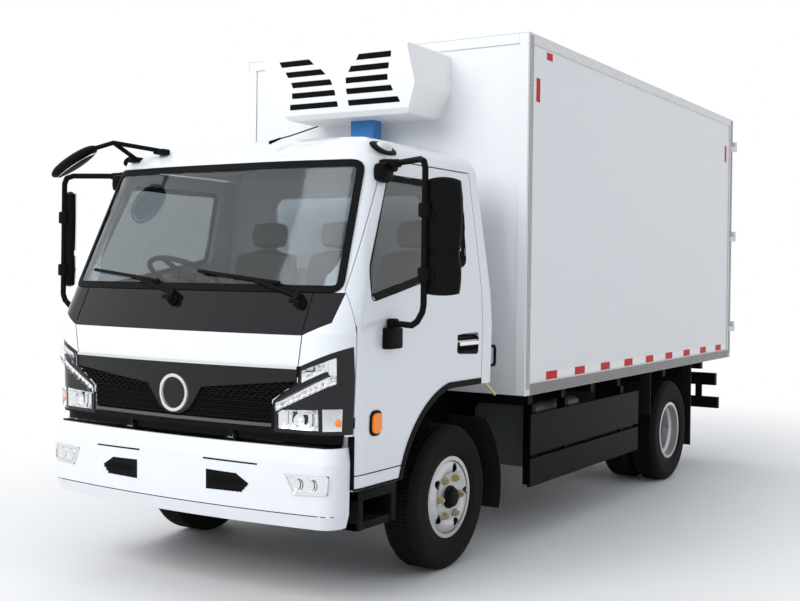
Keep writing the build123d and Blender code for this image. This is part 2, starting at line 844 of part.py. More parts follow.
with BuildPart() as cab_roof:
    add(cab_shell.part)
    with Locations((0, front_axle_y - 300, 2000)):
        Box(2 * cab_rail_half, 2400, 1000, align=(Align.CENTER, Align.CENTER, Align.MIN), mode=Mode.INTERSECT)
    add(screen_cut, mode=Mode.SUBTRACT)
    with Locations((0, front_axle_y + 150, 1900)):
        Box(2400, 600, roof_split_z - 1900, align=(Align.CENTER, Align.MIN, Align.MIN), mode=Mode.SUBTRACT)

rear_window_half = 560.0
rear_window_low_z = 1640.0
rear_window_top_z = 2080.0
rear_window_corner = 70.0


def rear_window_prism(shrink):
    """Rear window outline carried through the rear wall."""
    with BuildPart() as prism:
        with BuildSketch(Plane.XZ.offset(-(front_axle_y + 100))):
            with Locations((0, (rear_window_low_z + rear_window_top_z) / 2)):
                RectangleRounded(
                    2 * (rear_window_half - shrink),
                    rear_window_top_z - rear_window_low_z - 2 * shrink,
                    rear_window_corner - shrink,
                )
        extrude(amount=-600)
    return prism.part


with BuildPart() as cab_rear:
    add(cab_shell.part)
    with Locations((0, front_axle_y + 150, arch_top_z)):
        Box(
            2 * cab_rail_half,
            600,
            roof_split_z - arch_top_z,
            align=(Align.CENTER, Align.MIN, Align.MIN),
            mode=Mode.INTERSECT,
        )
    add(rear_window_prism(0), mode=Mode.SUBTRACT)

glass_depth = 4.0
with BuildPart() as windscreen:
    add(cab_solid(glass_depth))
    add(cab_solid(glass_depth + glass_thickness), mode=Mode.SUBTRACT)
    add(screen_form, mode=Mode.INTERSECT)

window_skin_outer = cab_solid(window_depth)
window_skin_inner = cab_solid(window_depth + glass_thickness)
with BuildPart() as rear_glass:
    add(window_skin_outer)
    add(window_skin_inner, mode=Mode.SUBTRACT)
    add(rear_window_prism(seat_gap), mode=Mode.INTERSECT)

with BuildPart() as cab_glass:
    add(windscreen.part)
    add(rear_glass.part)

with BuildPart() as front_panel:
    add(cab_shell.part)
    add(panel_form, mode=Mode.INTERSECT)
    add(door_cut, mode=Mode.SUBTRACT)

# Headlamps: dark housings with sunk reflectors and a ring round each main bulb
lamp_recess = 22.0
bulb_place = (752.0, 916.0)
bulb_ring_radius = 40.0
bulb_ring_wall = 8.0
with BuildPart() as lamp_recesses:
    for points in (beam_points, turn_points, strip_points, position_points):
        add(lamp_prism(points, 0))
    add(cab_solid(lamp_recess), mode=Mode.SUBTRACT)
with BuildPart() as bulb_rings:
    with BuildSketch(Plane.XZ.offset(300 - front_axle_y)):
        for row in sides:
            with Locations((row.side * bulb_place[0], bulb_place[1])):
                Circle(bulb_ring_radius)
                Circle(bulb_ring_radius - bulb_ring_wall, mode=Mode.SUBTRACT)
    extrude(amount=1100)
    add(cab_solid(lamp_recess / 3), mode=Mode.INTERSECT)
    add(lamp_seat, mode=Mode.SUBTRACT)
with BuildPart() as headlamps:
    add(cab_outer)
    add(lamp_seat, mode=Mode.SUBTRACT)
    add(lamp_form, mode=Mode.INTERSECT)
    add(lamp_recesses.part, mode=Mode.SUBTRACT)
    add(bulb_rings.part)
    add(door_cut, mode=Mode.SUBTRACT)

# Grille: sunk plate with slats and a wing bar that dips to a point in the middle
slat_inset = 8.0
grille_recess = 18.0
slat_height = 9.0
slat_first_z = 905.0
slat_pitch = 27.0
slat_count = 8
with BuildPart() as grille_slats:
    with BuildSketch(Plane.XZ.offset(300 - front_axle_y)):
        for index in range(slat_count):
            with Locations((0, slat_first_z + index * slat_pitch)):
                Rectangle(2 * side_reach, slat_height)
    extrude(amount=1100)
    add(cab_solid(slat_inset), mode=Mode.INTERSECT)
    add(grille_form, mode=Mode.INTERSECT)
with BuildPart() as grille_wing:
    add(front_prism(wing_points, 0))
    add(cab_outer, mode=Mode.INTERSECT)
    add(grille_form, mode=Mode.INTERSECT)
with BuildPart() as grille:
    add(cab_solid(grille_recess))
    add(grille_form, mode=Mode.INTERSECT)
    add(grille_slats.part)
    add(grille_wing.part)
    add(cab_solid(6 + grille_depth), mode=Mode.SUBTRACT)

# Doors: full wall thickness, hinge pins standing in pockets of the inner front edge
pocket_height = hinge_eye_height + 10
pocket_reach = hinge_eye_radius + hinge_pocket
handle_back = 90.0
handle_z = 1240.0
handle_length = 236.0
handle_height = 96.0
handle_recess = 20.0
with BuildPart() as door_left:
    add(cab_shell.part)
    add(door_form, mode=Mode.INTERSECT)
    with Locations((cab_rail_half, 0, 0)):
        Box(600, 9000, 6000, align=(Align.MIN, Align.CENTER, Align.CENTER), mode=Mode.INTERSECT)
    add(window_cut, mode=Mode.SUBTRACT)
    with Locations((door_inner_half, front_axle_y + door_front, belt_z)):
        Box(
            door_inner_half,
            door_corner_depth,
            door_corner_height,
            align=(Align.MAX, Align.MIN, Align.MAX),
            mode=Mode.SUBTRACT,
        )
    for level in hinge_levels:
        with Locations((door_hinge_half + pocket_reach, hinge_y + pocket_reach, level)):
            Box(200, 200, pocket_height, align=(Align.MAX, Align.MAX, Align.CENTER), mode=Mode.SUBTRACT)
        with Locations((door_hinge_half, hinge_y, level)):
            Cylinder(hinge_pin_radius, pocket_height + 4)
    with Locations((cab_sections[1].half_width, front_axle_y + handle_back, handle_z)):
        Box(2 * handle_recess, handle_length, handle_height, mode=Mode.SUBTRACT)
    with Locations((cab_sections[1].half_width - handle_recess, front_axle_y + handle_back, handle_z)):
        Box(
            handle_recess - 4,
            handle_length,
            0.3 * handle_height,
            align=(Align.MIN, Align.CENTER, Align.CENTER),
        )

with BuildPart() as door_glass_left:
    add(window_skin_outer)
    add(window_skin_inner, mode=Mode.SUBTRACT)
    add(window_form, mode=Mode.INTERSECT)
    with Locations((cab_rail_half, 0, 0)):
        Box(600, 9000, 6000, align=(Align.MIN, Align.CENTER, Align.CENTER), mode=Mode.INTERSECT)

# Door mirrors: bent tube on two feet, a tall head and a wide-angle head
mirror_tube_radius = 14.0
mirror_rod_half = 1250.0
mirror_rod_back = -752.0
mirror_toe = 14.0
MirrorHead = namedtuple("MirrorHead", "z width height")
mirror_heads = (MirrorHead(1895.0, 196.0, 350.0), MirrorHead(1610.0, 190.0, 185.0))
mirror_path_points = (
    (880, front_axle_y - 600, 2162),
    (1010, front_axle_y - 640, 2166),
    (mirror_rod_half, front_axle_y + mirror_rod_back, 2160),
    (mirror_rod_half, front_axle_y + mirror_rod_back, 1470),
    (1190, front_axle_y - 730, 1350),
    (960, front_axle_y - 674, 1322),
)
with BuildPart() as mirror_left:
    with BuildLine() as tube_path:
        FilletPolyline(*mirror_path_points, radius=45)
    with BuildSketch(Plane(origin=tube_path.line @ 0, z_dir=tube_path.line % 0)):
        Circle(mirror_tube_radius)
    sweep(path=tube_path.line)
    for point in (mirror_path_points[0], mirror_path_points[-1]):
        with Locations((point[0] + 40, point[1], point[2])):
            Box(150, 78, 66)
    for head in mirror_heads:
        head_plane = Plane(
            origin=(mirror_rod_half + 58, front_axle_y + mirror_rod_back + 30, head.z),
            x_dir=(cos(radians(mirror_toe)), sin(radians(mirror_toe)), 0),
            z_dir=(sin(radians(mirror_toe)), -cos(radians(mirror_toe)), 0),
        )
        with BuildSketch(head_plane):
            RectangleRounded(head.width, head.height, 34)
        extrude(amount=62, taper=10)
    add(cab_outer, mode=Mode.SUBTRACT)

# Cab floor: foot well in front, arch and engine platform behind
floor_half = 870.0
with BuildPart() as cab_floor:
    with BuildSketch(Plane.YZ.offset(-floor_half)):
        with BuildLine():
            Polyline(
                (front_axle_y - 1200, cab_floor_z),
                (front_axle_y - 620, cab_floor_z),
                (front_axle_y - 340, cab_platform_z),
                (front_axle_y + 400, cab_platform_z),
                (front_axle_y + 400, cab_platform_z + cab_floor_thickness),
                (front_axle_y - 365, cab_platform_z + cab_floor_thickness),
                (front_axle_y - 645, cab_floor_z + cab_floor_thickness),
                (front_axle_y - 1200, cab_floor_z + cab_floor_thickness),
                close=True,
            )
        make_face()
    extrude(amount=2 * floor_half)
    add(cab_cavity, mode=Mode.INTERSECT)

# Dashboard across the cab front
dash_half = 860.0
with BuildPart() as dashboard:
    with BuildSketch(Plane.YZ.offset(-dash_half)) as dash_outline:
        with BuildLine():
            Polyline(
                (front_axle_y - 1200, 1120),
                (front_axle_y - 800, 1120),
                (front_axle_y - 690, 1230),
                (front_axle_y - 660, 1440),
                (front_axle_y - 760, 1500),
                (front_axle_y - 1200, 1512),
                close=True,
            )
        make_face()
    extrude(amount=2 * dash_half)
    add(cab_cavity, mode=Mode.INTERSECT)

# Steering wheel on its column, ahead of the right seat
wheel_centre = (-550.0, front_axle_y - 500.0, 1580.0)
wheel_ring_radius = 215.0
wheel_ring_tube = 15.0
wheel_tilt = 30.0
wheel_plane = Plane(
    origin=wheel_centre,
    x_dir=(1, 0, 0),
    z_dir=(0, sin(radians(wheel_tilt)), cos(radians(wheel_tilt))),
)
with BuildPart() as steering_wheel:
    with Locations(wheel_plane):
        Torus(wheel_ring_radius, wheel_ring_tube)
        Cylinder(62, 44)
        Cylinder(34, 370, align=(Align.CENTER, Align.CENTER, Align.MAX))
        with PolarLocations(0, 3, start_angle=270):
            with Locations((wheel_ring_radius / 2, 0, 0)):
                Box(wheel_ring_radius, 34, 14)
    add(dashboard.part, mode=Mode.SUBTRACT)

# Seats: driver, middle and outer passenger
SeatRow = namedtuple("SeatRow", "x width")
seat_rows = (SeatRow(-550.0, 480.0), SeatRow(0.0, 400.0), SeatRow(550.0, 480.0))
seat_base_z = cab_platform_z + cab_floor_thickness
with BuildPart() as seats:
    for row in seat_rows:
        with BuildSketch(Plane.YZ.offset(row.x - row.width / 2)) as seat_outline:
            with BuildLine():
                Polyline(
                    (front_axle_y - 300, seat_base_z),
                    (front_axle_y - 320, seat_base_z + 230),
                    (front_axle_y + 90, seat_base_z + 210),
                    (front_axle_y + 150, seat_base_z + 720),
                    (front_axle_y + 160, seat_base_z + 900),
                    (front_axle_y + 250, seat_base_z + 900),
                    (front_axle_y + 255, seat_base_z + 720),
                    (front_axle_y + 220, seat_base_z),
                    close=True,
                )
            make_face()
        extrude(amount=row.width)

# Wipers: pivot, arm and blade, lying just off the windscreen
WiperRow = namedtuple("WiperRow", "pivot_x tip_x")
wiper_rows = (WiperRow(-65.0, -745.0), WiperRow(710.0, 58.0))
wiper_radius = 9.0
wiper_stand = 16.0
wiper_rise = 95.0


def screen_point(x, z, stand):
    """Point on the outside of the windscreen or the panel under it, moved forward by a stand-off."""
    low, high = cab_sections[2], cab_sections[3]
    front = low.front + (high.front - low.front) * (z - low.z) / (high.z - low.z)
    return (x, front_axle_y + front + x**2 / (2 * front_arc_radius) - stand, z)


with BuildPart() as wipers:
    for row in wiper_rows:
        pivot = screen_point(row.pivot_x, belt_z - 24, wiper_stand)
        tip = screen_point(row.tip_x, belt_z + wiper_rise, wiper_stand)
        root = screen_point(0.35 * row.pivot_x + 0.65 * row.tip_x + 120, belt_z + 0.62 * wiper_rise, wiper_stand)
        heel = screen_point(0.8 * row.pivot_x + 0.2 * row.tip_x, belt_z + 0.45 * wiper_rise, wiper_stand)
        for start, end in ((pivot, root), (heel, tip)):
            with BuildLine() as path:
                Line(start, end)
            with BuildSketch(Plane(origin=start, z_dir=path.line % 0)):
                Circle(wiper_radius)
            sweep(path=path.line)
        with Locations(Plane(origin=pivot, z_dir=(0, -1, 0.3))):
            Cylinder(20, 60)
    add(cab_outer, mode=Mode.SUBTRACT)

# Kerb mirror on the right of the cab roof
kerb_points = (
    (-540, front_axle_y - 660, 2285),
    (-640, front_axle_y - 900, 2300),
    (-880, front_axle_y - 1010, 2290),
    (-985, front_axle_y - 1000, 2240),
)
with BuildPart() as kerb_mirror:
    with BuildLine() as kerb_path:
        FilletPolyline(*kerb_points, radius=40)
    with BuildSketch(Plane(origin=kerb_path.line @ 0, z_dir=kerb_path.line % 0)):
        Circle(mirror_tube_radius)
    sweep(path=kerb_path.line)
    with Locations(kerb_points[0]):
        Box(90, 120, 60)
    with BuildSketch(Plane(origin=kerb_points[-1], x_dir=(1, 0, 0), z_dir=(0, 0.5, 0.866))):
        RectangleRounded(250, 150, 60)
    extrude(amount=40, both=True)
    add(cab_outer, mode=Mode.SUBTRACT)

# Front bumper: bowed shell with vents and lamp openings
BumperSection = namedtuple("BumperSection", "z front half_width")
bumper_sections = (
    BumperSection(405.0, -1135.0, 945.0),
    BumperSection(470.0, -1160.0, 962.0),
    BumperSection(715.0, -front_overhang, 965.0),
    BumperSection(788.0, -1140.0, 955.0),
)
bumper_rear = -965.0
bumper_wall = 18.0
bumper_corner = 96.0
bumper_arc = 6500.0


def bumper_solid(inset, over):
    """Bumper form moved inwards by an inset and lengthened at its open sides."""
    with BuildPart() as solid:
        last = len(bumper_sections) - 1
        for index, row in enumerate(bumper_sections):
            level = row.z - over * (index == 0) + over * (index == last)
            with BuildSketch(Plane.XY.offset(level)):
                add(
                    make_face(
                        plan_outline(
                            front_axle_y + row.front + inset,
                            row.half_width - inset,
                            front_axle_y + bumper_rear + 4 * over,
                            bumper_corner - inset,
                            bumper_arc - inset,
                        ).edges(),
                        mode=Mode.PRIVATE,
                    )
                )
        loft(ruled=True)
    return solid.part


fog_points = [(748, 566), (698, 660), (930, 666), (924, 578)]
vent_depth = 9.0
vent_points = [(236, 548), (236, 645), (420, 640), (496, 596), (452, 552)]
bumper_outer = bumper_solid(0, 0)
bumper_cavity = bumper_solid(bumper_wall, 5)
with BuildPart() as bumper_vents:
    add(lamp_prism(vent_points, 0))
    add(bumper_solid(vent_depth, 5), mode=Mode.SUBTRACT)
with BuildPart() as front_bumper:
    add(bumper_outer)
    add(bumper_cavity, mode=Mode.SUBTRACT)
    add(lamp_prism(fog_points, 0), mode=Mode.SUBTRACT)
    add(bumper_vents.part, mode=Mode.SUBTRACT)
    for row in sides:
        with Locations((row.side * (frame_half - rail_flange / 2), rail_front_y, rail_bottom_z + 40)):
            Box(50, 95, 100, align=(Align.CENTER, Align.MAX, Align.MIN))

# Lamps on the chassis: fog lamps in the bumper and rear lamp clusters
tail_lamp_half = 830.0
tail_lamp_z = 640.0
underrun_bottom_z = 438.0
underrun_height = 100.0
underrun_depth = 44.0
underrun_half = 1020.0
underrun_y = rear_y - 150.0
with BuildPart() as chassis_lamps:
    add(bumper_outer)
    add(bumper_cavity, mode=Mode.SUBTRACT)
    add(lamp_prism(fog_points, seat_gap), mode=Mode.INTERSECT)
    for row in sides:
        with Locations((row.side * tail_lamp_half, underrun_y, tail_lamp_z)):
            Box(300, 50, 110, align=(Align.CENTER, Align.MIN, Align.MIN))

# Rear underrun bar with lamp brackets, carried by the rail ends
with BuildPart() as underrun_bar:
    with Locations((0, underrun_y, underrun_bottom_z)):
        Box(2 * underrun_half, underrun_depth, underrun_height, align=(Align.CENTER, Align.MAX, Align.MIN))
    for row in sides:
        with Locations((row.side * (frame_half + 5), underrun_y, underrun_bottom_z)):
            Box(10, 160, rail_top_z - 20 - underrun_bottom_z, align=(Align.CENTER, Align.MAX, Align.MIN))
        with Locations((row.side * tail_lamp_half, underrun_y, underrun_bottom_z + underrun_height)):
            Box(
                60,
                12,
                tail_lamp_z + 90 - underrun_bottom_z - underrun_height,
                align=(Align.CENTER, Align.MAX, Align.MIN),
            )

# Insulated box: floor on bearers, walls, roof
panel_rear_y = box_rear_y - frame_depth
wall_front_y = panel_front_y + box_wall
floor_half_width = panel_half - box_wall
bearer_low_z = box_bottom_z - bearer_height
bearer_first_y = wall_front_y + 160.0
bearer_count = int((panel_rear_y - bearer_first_y) // bearer_pitch) + 1
with BuildPart() as box_floor:
    with Locations((0, wall_front_y, box_bottom_z)):
        Box(
            2 * floor_half_width,
            panel_rear_y - wall_front_y,
            floor_top_z - box_bottom_z,
            align=(Align.CENTER, Align.MIN, Align.MIN),
        )
    for index in range(bearer_count):
        with Locations((0, bearer_first_y + index * bearer_pitch, bearer_low_z)):
            Box(2 * floor_half_width, bearer_width, bearer_height, align=(Align.CENTER, Align.CENTER, Align.MIN))
    for row in sides:
        with Locations((row.side * (frame_half - rail_flange / 2), wall_front_y, rail_top_z)):
            Box(
                long_bearer_width - 10,
                panel_rear_y - wall_front_y,
                box_bottom_z - rail_top_z,
                align=(Align.CENTER, Align.MIN, Align.MIN),
            )

wall_top_z = panel_top_z - box_wall
with BuildPart() as box_sides:
    for row in sides:
        with Locations((row.side * (panel_half - box_wall / 2), wall_front_y, box_bottom_z)):
            Box(
                box_wall,
                panel_rear_y - wall_front_y,
                wall_top_z - box_bottom_z,
                align=(Align.CENTER, Align.MIN, Align.MIN),
            )
with BuildPart() as box_front_wall:
    with Locations((0, panel_front_y, box_bottom_z)):
        Box(2 * panel_half, box_wall, wall_top_z - box_bottom_z, align=(Align.CENTER, Align.MIN, Align.MIN))
with BuildPart() as box_roof:
    with Locations((0, panel_front_y, wall_top_z)):
        Box(2 * panel_half, panel_rear_y - panel_front_y, box_wall, align=(Align.CENTER, Align.MIN, Align.MIN))

# Edge rails, corner posts and rear door frame
rail_end_gap = 0.5
post_top_z = box_top_z - edge_rail_width - rail_end_gap
with BuildPart() as box_rails:
    with BuildSketch(Plane.XY.offset(box_bottom_z)) as corner_post:
        with Locations((panel_half - edge_rail_width + trim_proud, box_front_y)):
            Rectangle(edge_rail_width, trim_proud, align=(Align.MIN, Align.MIN))
        with Locations((box_half, box_front_y)):
            Rectangle(trim_proud, edge_rail_width, align=(Align.MAX, Align.MIN))
        fillet(corner_post.vertices().sort_by(Axis.X)[-2:].sort_by(Axis.Y)[0], trim_proud)
        mirror(about=Plane.YZ)
    extrude(amount=post_top_z - box_bottom_z)
    with BuildSketch(Plane.XZ.offset(-(box_front_y))) as top_rail:
        with Locations((box_half - edge_rail_width, box_top_z)):
            Rectangle(edge_rail_width, trim_proud, align=(Align.MIN, Align.MAX))
        with Locations((box_half, box_top_z)):
            Rectangle(trim_proud, edge_rail_width, align=(Align.MAX, Align.MAX))
        mirror(about=Plane.YZ)
    extrude(amount=-(panel_rear_y - rail_end_gap - box_front_y))
    for row in sides:
        with Locations((row.side * box_half, box_front_y + edge_rail_width + rail_end_gap, box_bottom_z)):
            Box(
                trim_proud,
                panel_rear_y - box_front_y - edge_rail_width - 2 * rail_end_gap,
                bottom_rail_height,
                align=(Align.MAX if row.side > 0 else Align.MIN, Align.MIN, Align.MIN),
            )
        with Locations((row.side * box_half, panel_rear_y, box_bottom_z)):
            Box(
                post_width,
                frame_depth,
                box_top_z - box_bottom_z,
                align=(Align.MAX if row.side > 0 else Align.MIN, Align.MIN, Align.MIN),
            )
    opening_half = box_half - post_width
    with BuildSketch(Plane.XZ.offset(-box_front_y)):
        with Locations((0, box_top_z - edge_rail_width)):
            Rectangle(
                2 * (panel_half - rail_end_gap),
                edge_rail_width - trim_proud - rail_end_gap,
                align=(Align.CENTER, Align.MIN),
            )
            Rectangle(
                2 * (box_half - edge_rail_width - rail_end_gap),
                edge_rail_width,
                align=(Align.CENTER, Align.MIN),
            )
    extrude(amount=-trim_proud)
    with Locations((0, box_front_y, box_top_z)):
        Box(
            2 * (box_half - edge_rail_width - rail_end_gap),
            edge_rail_width,
            trim_proud,
            align=(Align.CENTER, Align.MIN, Align.MAX),
        )
    with Locations((0, panel_rear_y, box_top_z)):
        Box(2 * (opening_half - rail_end_gap), frame_depth, header_height, align=(Align.CENTER, Align.MIN, Align.MAX))
    with Locations((0, panel_rear_y, box_bottom_z)):
        Box(2 * (opening_half - rail_end_gap), frame_depth, sill_height, align=(Align.CENTER, Align.MIN, Align.MIN))
    rear_hinge_x = box_half + rear_hinge_out
    rear_hinge_y = box_rear_y + rear_hinge_back
    for row in sides:
        for level in rear_hinge_levels:
            with BuildSketch(Plane.XY.offset(level)):
                with Locations((row.side * rear_hinge_x, rear_hinge_y)):
                    Circle(rear_hinge_eye_radius)
                with BuildLine():
                    Polyline(
                        (row.side * (box_half - 1), box_rear_y - 50),
                        (row.side * (box_half - 1), box_rear_y - 5),
                        (row.side * (rear_hinge_x - rear_hinge_eye_radius), rear_hinge_y),
                        (row.side * (rear_hinge_x + rear_hinge_eye_radius), rear_hinge_y),
                        close=True,
                    )
                make_face()
            extrude(amount=-rear_hinge_half_height)
            with Locations((row.side * rear_hinge_x, rear_hinge_y, level)):
                Cylinder(
                    rear_hinge_pin_radius,
                    rear_hinge_half_height - 6,
                    align=(Align.CENTER, Align.CENTER, Align.MIN),
                )

# Rear doors with straps, lock bars and handle
door_low_z = box_bottom_z + sill_height + move_gap
door_high_z = box_top_z - header_height - move_gap
door_outer_half = opening_half - move_gap
with BuildPart() as rear_door_left:
    with BuildSketch(Plane.XY.offset(door_low_z)):
        with BuildLine():
            Polyline(
                (rear_door_gap / 2, box_rear_y),
                (door_outer_half, box_rear_y),
                (door_outer_half, box_rear_y - box_wall),
                (rear_door_gap / 2 + rear_door_bevel, box_rear_y - box_wall),
                close=True,
            )
        make_face()
    extrude(amount=door_high_z - door_low_z)
    for level in rear_hinge_levels:
        with BuildSketch(Plane.XY.offset(level + seat_gap)):
            with Locations((rear_hinge_x, rear_hinge_y)):
                Circle(rear_hinge_eye_radius)
                Rectangle(170, rear_hinge_strap, align=(Align.MAX, Align.CENTER))
                Circle(rear_hinge_pin_radius + running_clearance, mode=Mode.SUBTRACT)
            with Locations((rear_hinge_x - 170, box_rear_y - 1)):
                Rectangle(70, rear_hinge_back + rear_hinge_strap / 2 + 1, align=(Align.MIN, Align.MIN))
        extrude(amount=rear_hinge_half_height)
    for place in lock_bar_places:
        with Locations((place, box_rear_y + lock_bar_proud, door_low_z + 12)):
            Cylinder(
                lock_bar_radius,
                door_high_z - door_low_z - 24,
                align=(Align.CENTER, Align.CENTER, Align.MIN),
            )
        for level in (1120.0, 1500.0, 2300.0, 2880.0):
            with Locations((place, box_rear_y - 1, level)):
                Box(46, lock_bar_proud + 8, 40, align=(Align.CENTER, Align.MIN, Align.CENTER))
        with Locations((place - 14, box_rear_y + lock_bar_proud, 1620)):
            Box(250, 14, 30, align=(Align.MIN, Align.CENTER, Align.CENTER))
    with Locations((lock_bar_places[0] + 232, box_rear_y - 1, 1620)):
        Box(30, lock_bar_proud + 1, 60, align=(Align.CENTER, Align.MIN, Align.CENTER))

# Fridge unit on the front wall: leaning front, narrowed below, with two columns of louvre slots
unit_low_z = 2575.0
unit_top_z = 2972.0
unit_depth = 500.0
unit_foot_depth = 372.0
unit_chin_height = 30.0
unit_brow_height = 26.0
unit_edge_radius = 24.0
unit_front_points = [(450, unit_low_z), (540, unit_low_z + 165), (532, unit_top_z)]
unit_slot_depth = 14.0
unit_slot_height = 33.0
# One row per slot, upwards: height of its low edge and its inner and outer ends at that edge and at its top
SlotRow = namedtuple("SlotRow", "z inner_low inner_top outer_low outer_top")
unit_slots = (
    SlotRow(2638.0, 40.0, 40.0, 416.0, 404.0),
    SlotRow(2704.0, 43.0, 43.0, 380.0, 372.0),
    SlotRow(2766.0, 50.0, 58.0, 356.0, 362.0),
    SlotRow(2828.0, 84.0, 112.0, 376.0, 388.0),
    SlotRow(2890.0, 156.0, 186.0, 408.0, 418.0),
)
unit_foot_y = panel_front_y - unit_foot_depth
unit_brow_y = panel_front_y - unit_depth
unit_chin_z = unit_low_z + unit_chin_height
unit_brow_z = unit_top_z - unit_brow_height
unit_lean = Vector(0, unit_brow_y - unit_foot_y, unit_brow_z - unit_chin_z)
unit_face = Plane(origin=(0, unit_foot_y, unit_chin_z), x_dir=(1, 0, 0), z_dir=(0, -unit_lean.Z, unit_lean.Y))
unit_slope = unit_lean.length / unit_lean.Z
with BuildPart() as fridge_unit:
    with BuildSketch(Plane.XZ.offset(-panel_front_y)):
        with BuildLine():
            Polyline(*unit_front_points, *[(-x, z) for x, z in reversed(unit_front_points)], close=True)
        make_face()
    extrude(amount=unit_depth)
    fillet(fridge_unit.edges().filter_by(Axis.Y), unit_edge_radius)
    with BuildSketch(Plane.YZ.offset(-side_reach)):
        with BuildLine():
            Polyline(
                (panel_front_y, unit_low_z),
                (unit_foot_y + unit_chin_height, unit_low_z),
                (unit_foot_y, unit_chin_z),
                (unit_brow_y, unit_brow_z),
                (unit_brow_y + unit_brow_height, unit_top_z),
                (panel_front_y, unit_top_z),
                close=True,
            )
        make_face()
    extrude(amount=2 * side_reach, mode=Mode.INTERSECT)
    with BuildSketch(unit_face):
        for row in unit_slots:
            low = (row.z - unit_chin_z) * unit_slope
            top = low + unit_slot_height * unit_slope
            for side_row in sides:
                with BuildLine():
                    Polyline(
                        (side_row.side * row.inner_low, low),
                        (side_row.side * row.outer_low, low),
                        (side_row.side * row.outer_top, top),
                        (side_row.side * row.inner_top, top),
                        close=True,
                    )
                make_face()
    extrude(amount=-unit_slot_depth, mode=Mode.SUBTRACT)

hose_cover_back = 141.0
with BuildPart() as hose_cover:
    with Locations((0, panel_front_y - hose_cover_back, unit_low_z)):
        Box(170, 90, 140, align=(Align.CENTER, Align.CENTER, Align.MAX))

# Side guards: two long boards a side on posts under the bearers
guard_half = 1040.0
guard_board = 22.0
guard_front = 800.0
guard_rear = 2600.0
GuardBoard = namedtuple("GuardBoard", "bottom top")
guard_boards = (GuardBoard(525.0, 770.0), GuardBoard(330.0, 500.0))
guard_posts = (1, 2, 4)
with BuildPart() as side_guards:
    for row in guard_boards:
        with Locations((guard_half, front_axle_y + guard_front, row.bottom)):
            Box(guard_board, guard_rear - guard_front, row.top - row.bottom, align=(Align.MAX, Align.MIN, Align.MIN))
    for index in guard_posts:
        with Locations((guard_half - guard_board, bearer_first_y + (index - 1) * bearer_pitch, guard_boards[1].bottom)):
            Box(60, 50, bearer_low_z - guard_boards[1].bottom, align=(Align.MAX, Align.CENTER, Align.MIN))
    mirror(about=Plane.YZ)

# Fuel tank on the left and battery box on the right, on brackets from the rails
tank_outer = 940.0
tank_inner = 560.0
tank_low_z = 420.0
tank_top_z = 800.0
tank_front = 960.0
tank_rear = 1740.0
with BuildPart() as side_boxes:
    for row in sides:
        with BuildSketch(Plane.XZ.offset(-(front_axle_y + tank_front))) as tank_section:
            with Locations((row.side * (tank_inner + tank_outer) / 2, (tank_low_z + tank_top_z) / 2)):
                RectangleRounded(tank_outer - tank_inner, tank_top_z - tank_low_z, 50)
        extrude(amount=-(tank_rear - tank_front))
        for place in (tank_front + 150, tank_rear - 150):
            with Locations((row.side * frame_half, front_axle_y + place, rail_bottom_z + 20)):
                Box(
                    tank_inner - frame_half + 60,
                    60,
                    120,
                    align=(Align.MIN if row.side > 0 else Align.MAX, Align.CENTER, Align.MIN),
                )

# Mud flaps before and behind the rear wheels, hung from the bearers
FlapRow = namedtuple("FlapRow", "bearer low_z")
flap_rows = (FlapRow(4, 560.0), FlapRow(6, 215.0))
flap_inner = 590.0
flap_outer = 1045.0
flap_thickness = 12.0
# Front mudguards: curved sheets behind the steered wheels, on arms from the rails
guard_arc_radius = 520.0
guard_arc_wall = 8.0
guard_arc_inner = 715.0
guard_arc_outer = 985.0
guard_arc_low = -16.0
guard_arc_high = 50.0
guard_arm_z = 640.0
guard_arm_height = 36.0
guard_arm_back = sqrt(guard_arc_radius**2 - (guard_arm_z - wheel_z) ** 2) - 6
guard_arm_depth = 40.0


def guard_arc_ray(angle):
    """Point far out on a ray from the wheel centre, at an angle above the rearward level."""
    reach = 2 * guard_arc_radius
    return (front_axle_y + reach * cos(radians(angle)), wheel_z + reach * sin(radians(angle)))


with BuildPart() as mud_flaps:
    for row in flap_rows:
        flap_y = bearer_first_y + row.bearer * bearer_pitch + bearer_width / 2
        with Locations(((flap_inner + flap_outer) / 2, flap_y, row.low_z)):
            Box(
                flap_outer - flap_inner,
                flap_thickness,
                box_bottom_z - row.low_z,
                align=(Align.CENTER, Align.MIN, Align.MIN),
            )
    with BuildSketch(Plane.YZ.offset(guard_arc_inner)):
        with BuildLine():
            Polyline(
                (front_axle_y, wheel_z),
                guard_arc_ray(guard_arc_low),
                guard_arc_ray((guard_arc_low + guard_arc_high) / 2),
                guard_arc_ray(guard_arc_high),
                close=True,
            )
        make_face()
        with Locations((front_axle_y, wheel_z)):
            Circle(guard_arc_radius + guard_arc_wall, mode=Mode.INTERSECT)
            Circle(guard_arc_radius, mode=Mode.SUBTRACT)
    extrude(amount=guard_arc_outer - guard_arc_inner)
    with Locations((frame_half, front_axle_y + guard_arm_back, guard_arm_z)):
        Box(
            guard_arc_inner + 40 - frame_half,
            guard_arm_depth,
            guard_arm_height,
            align=(Align.MIN, Align.MIN, Align.CENTER),
        )
    mirror(about=Plane.YZ)

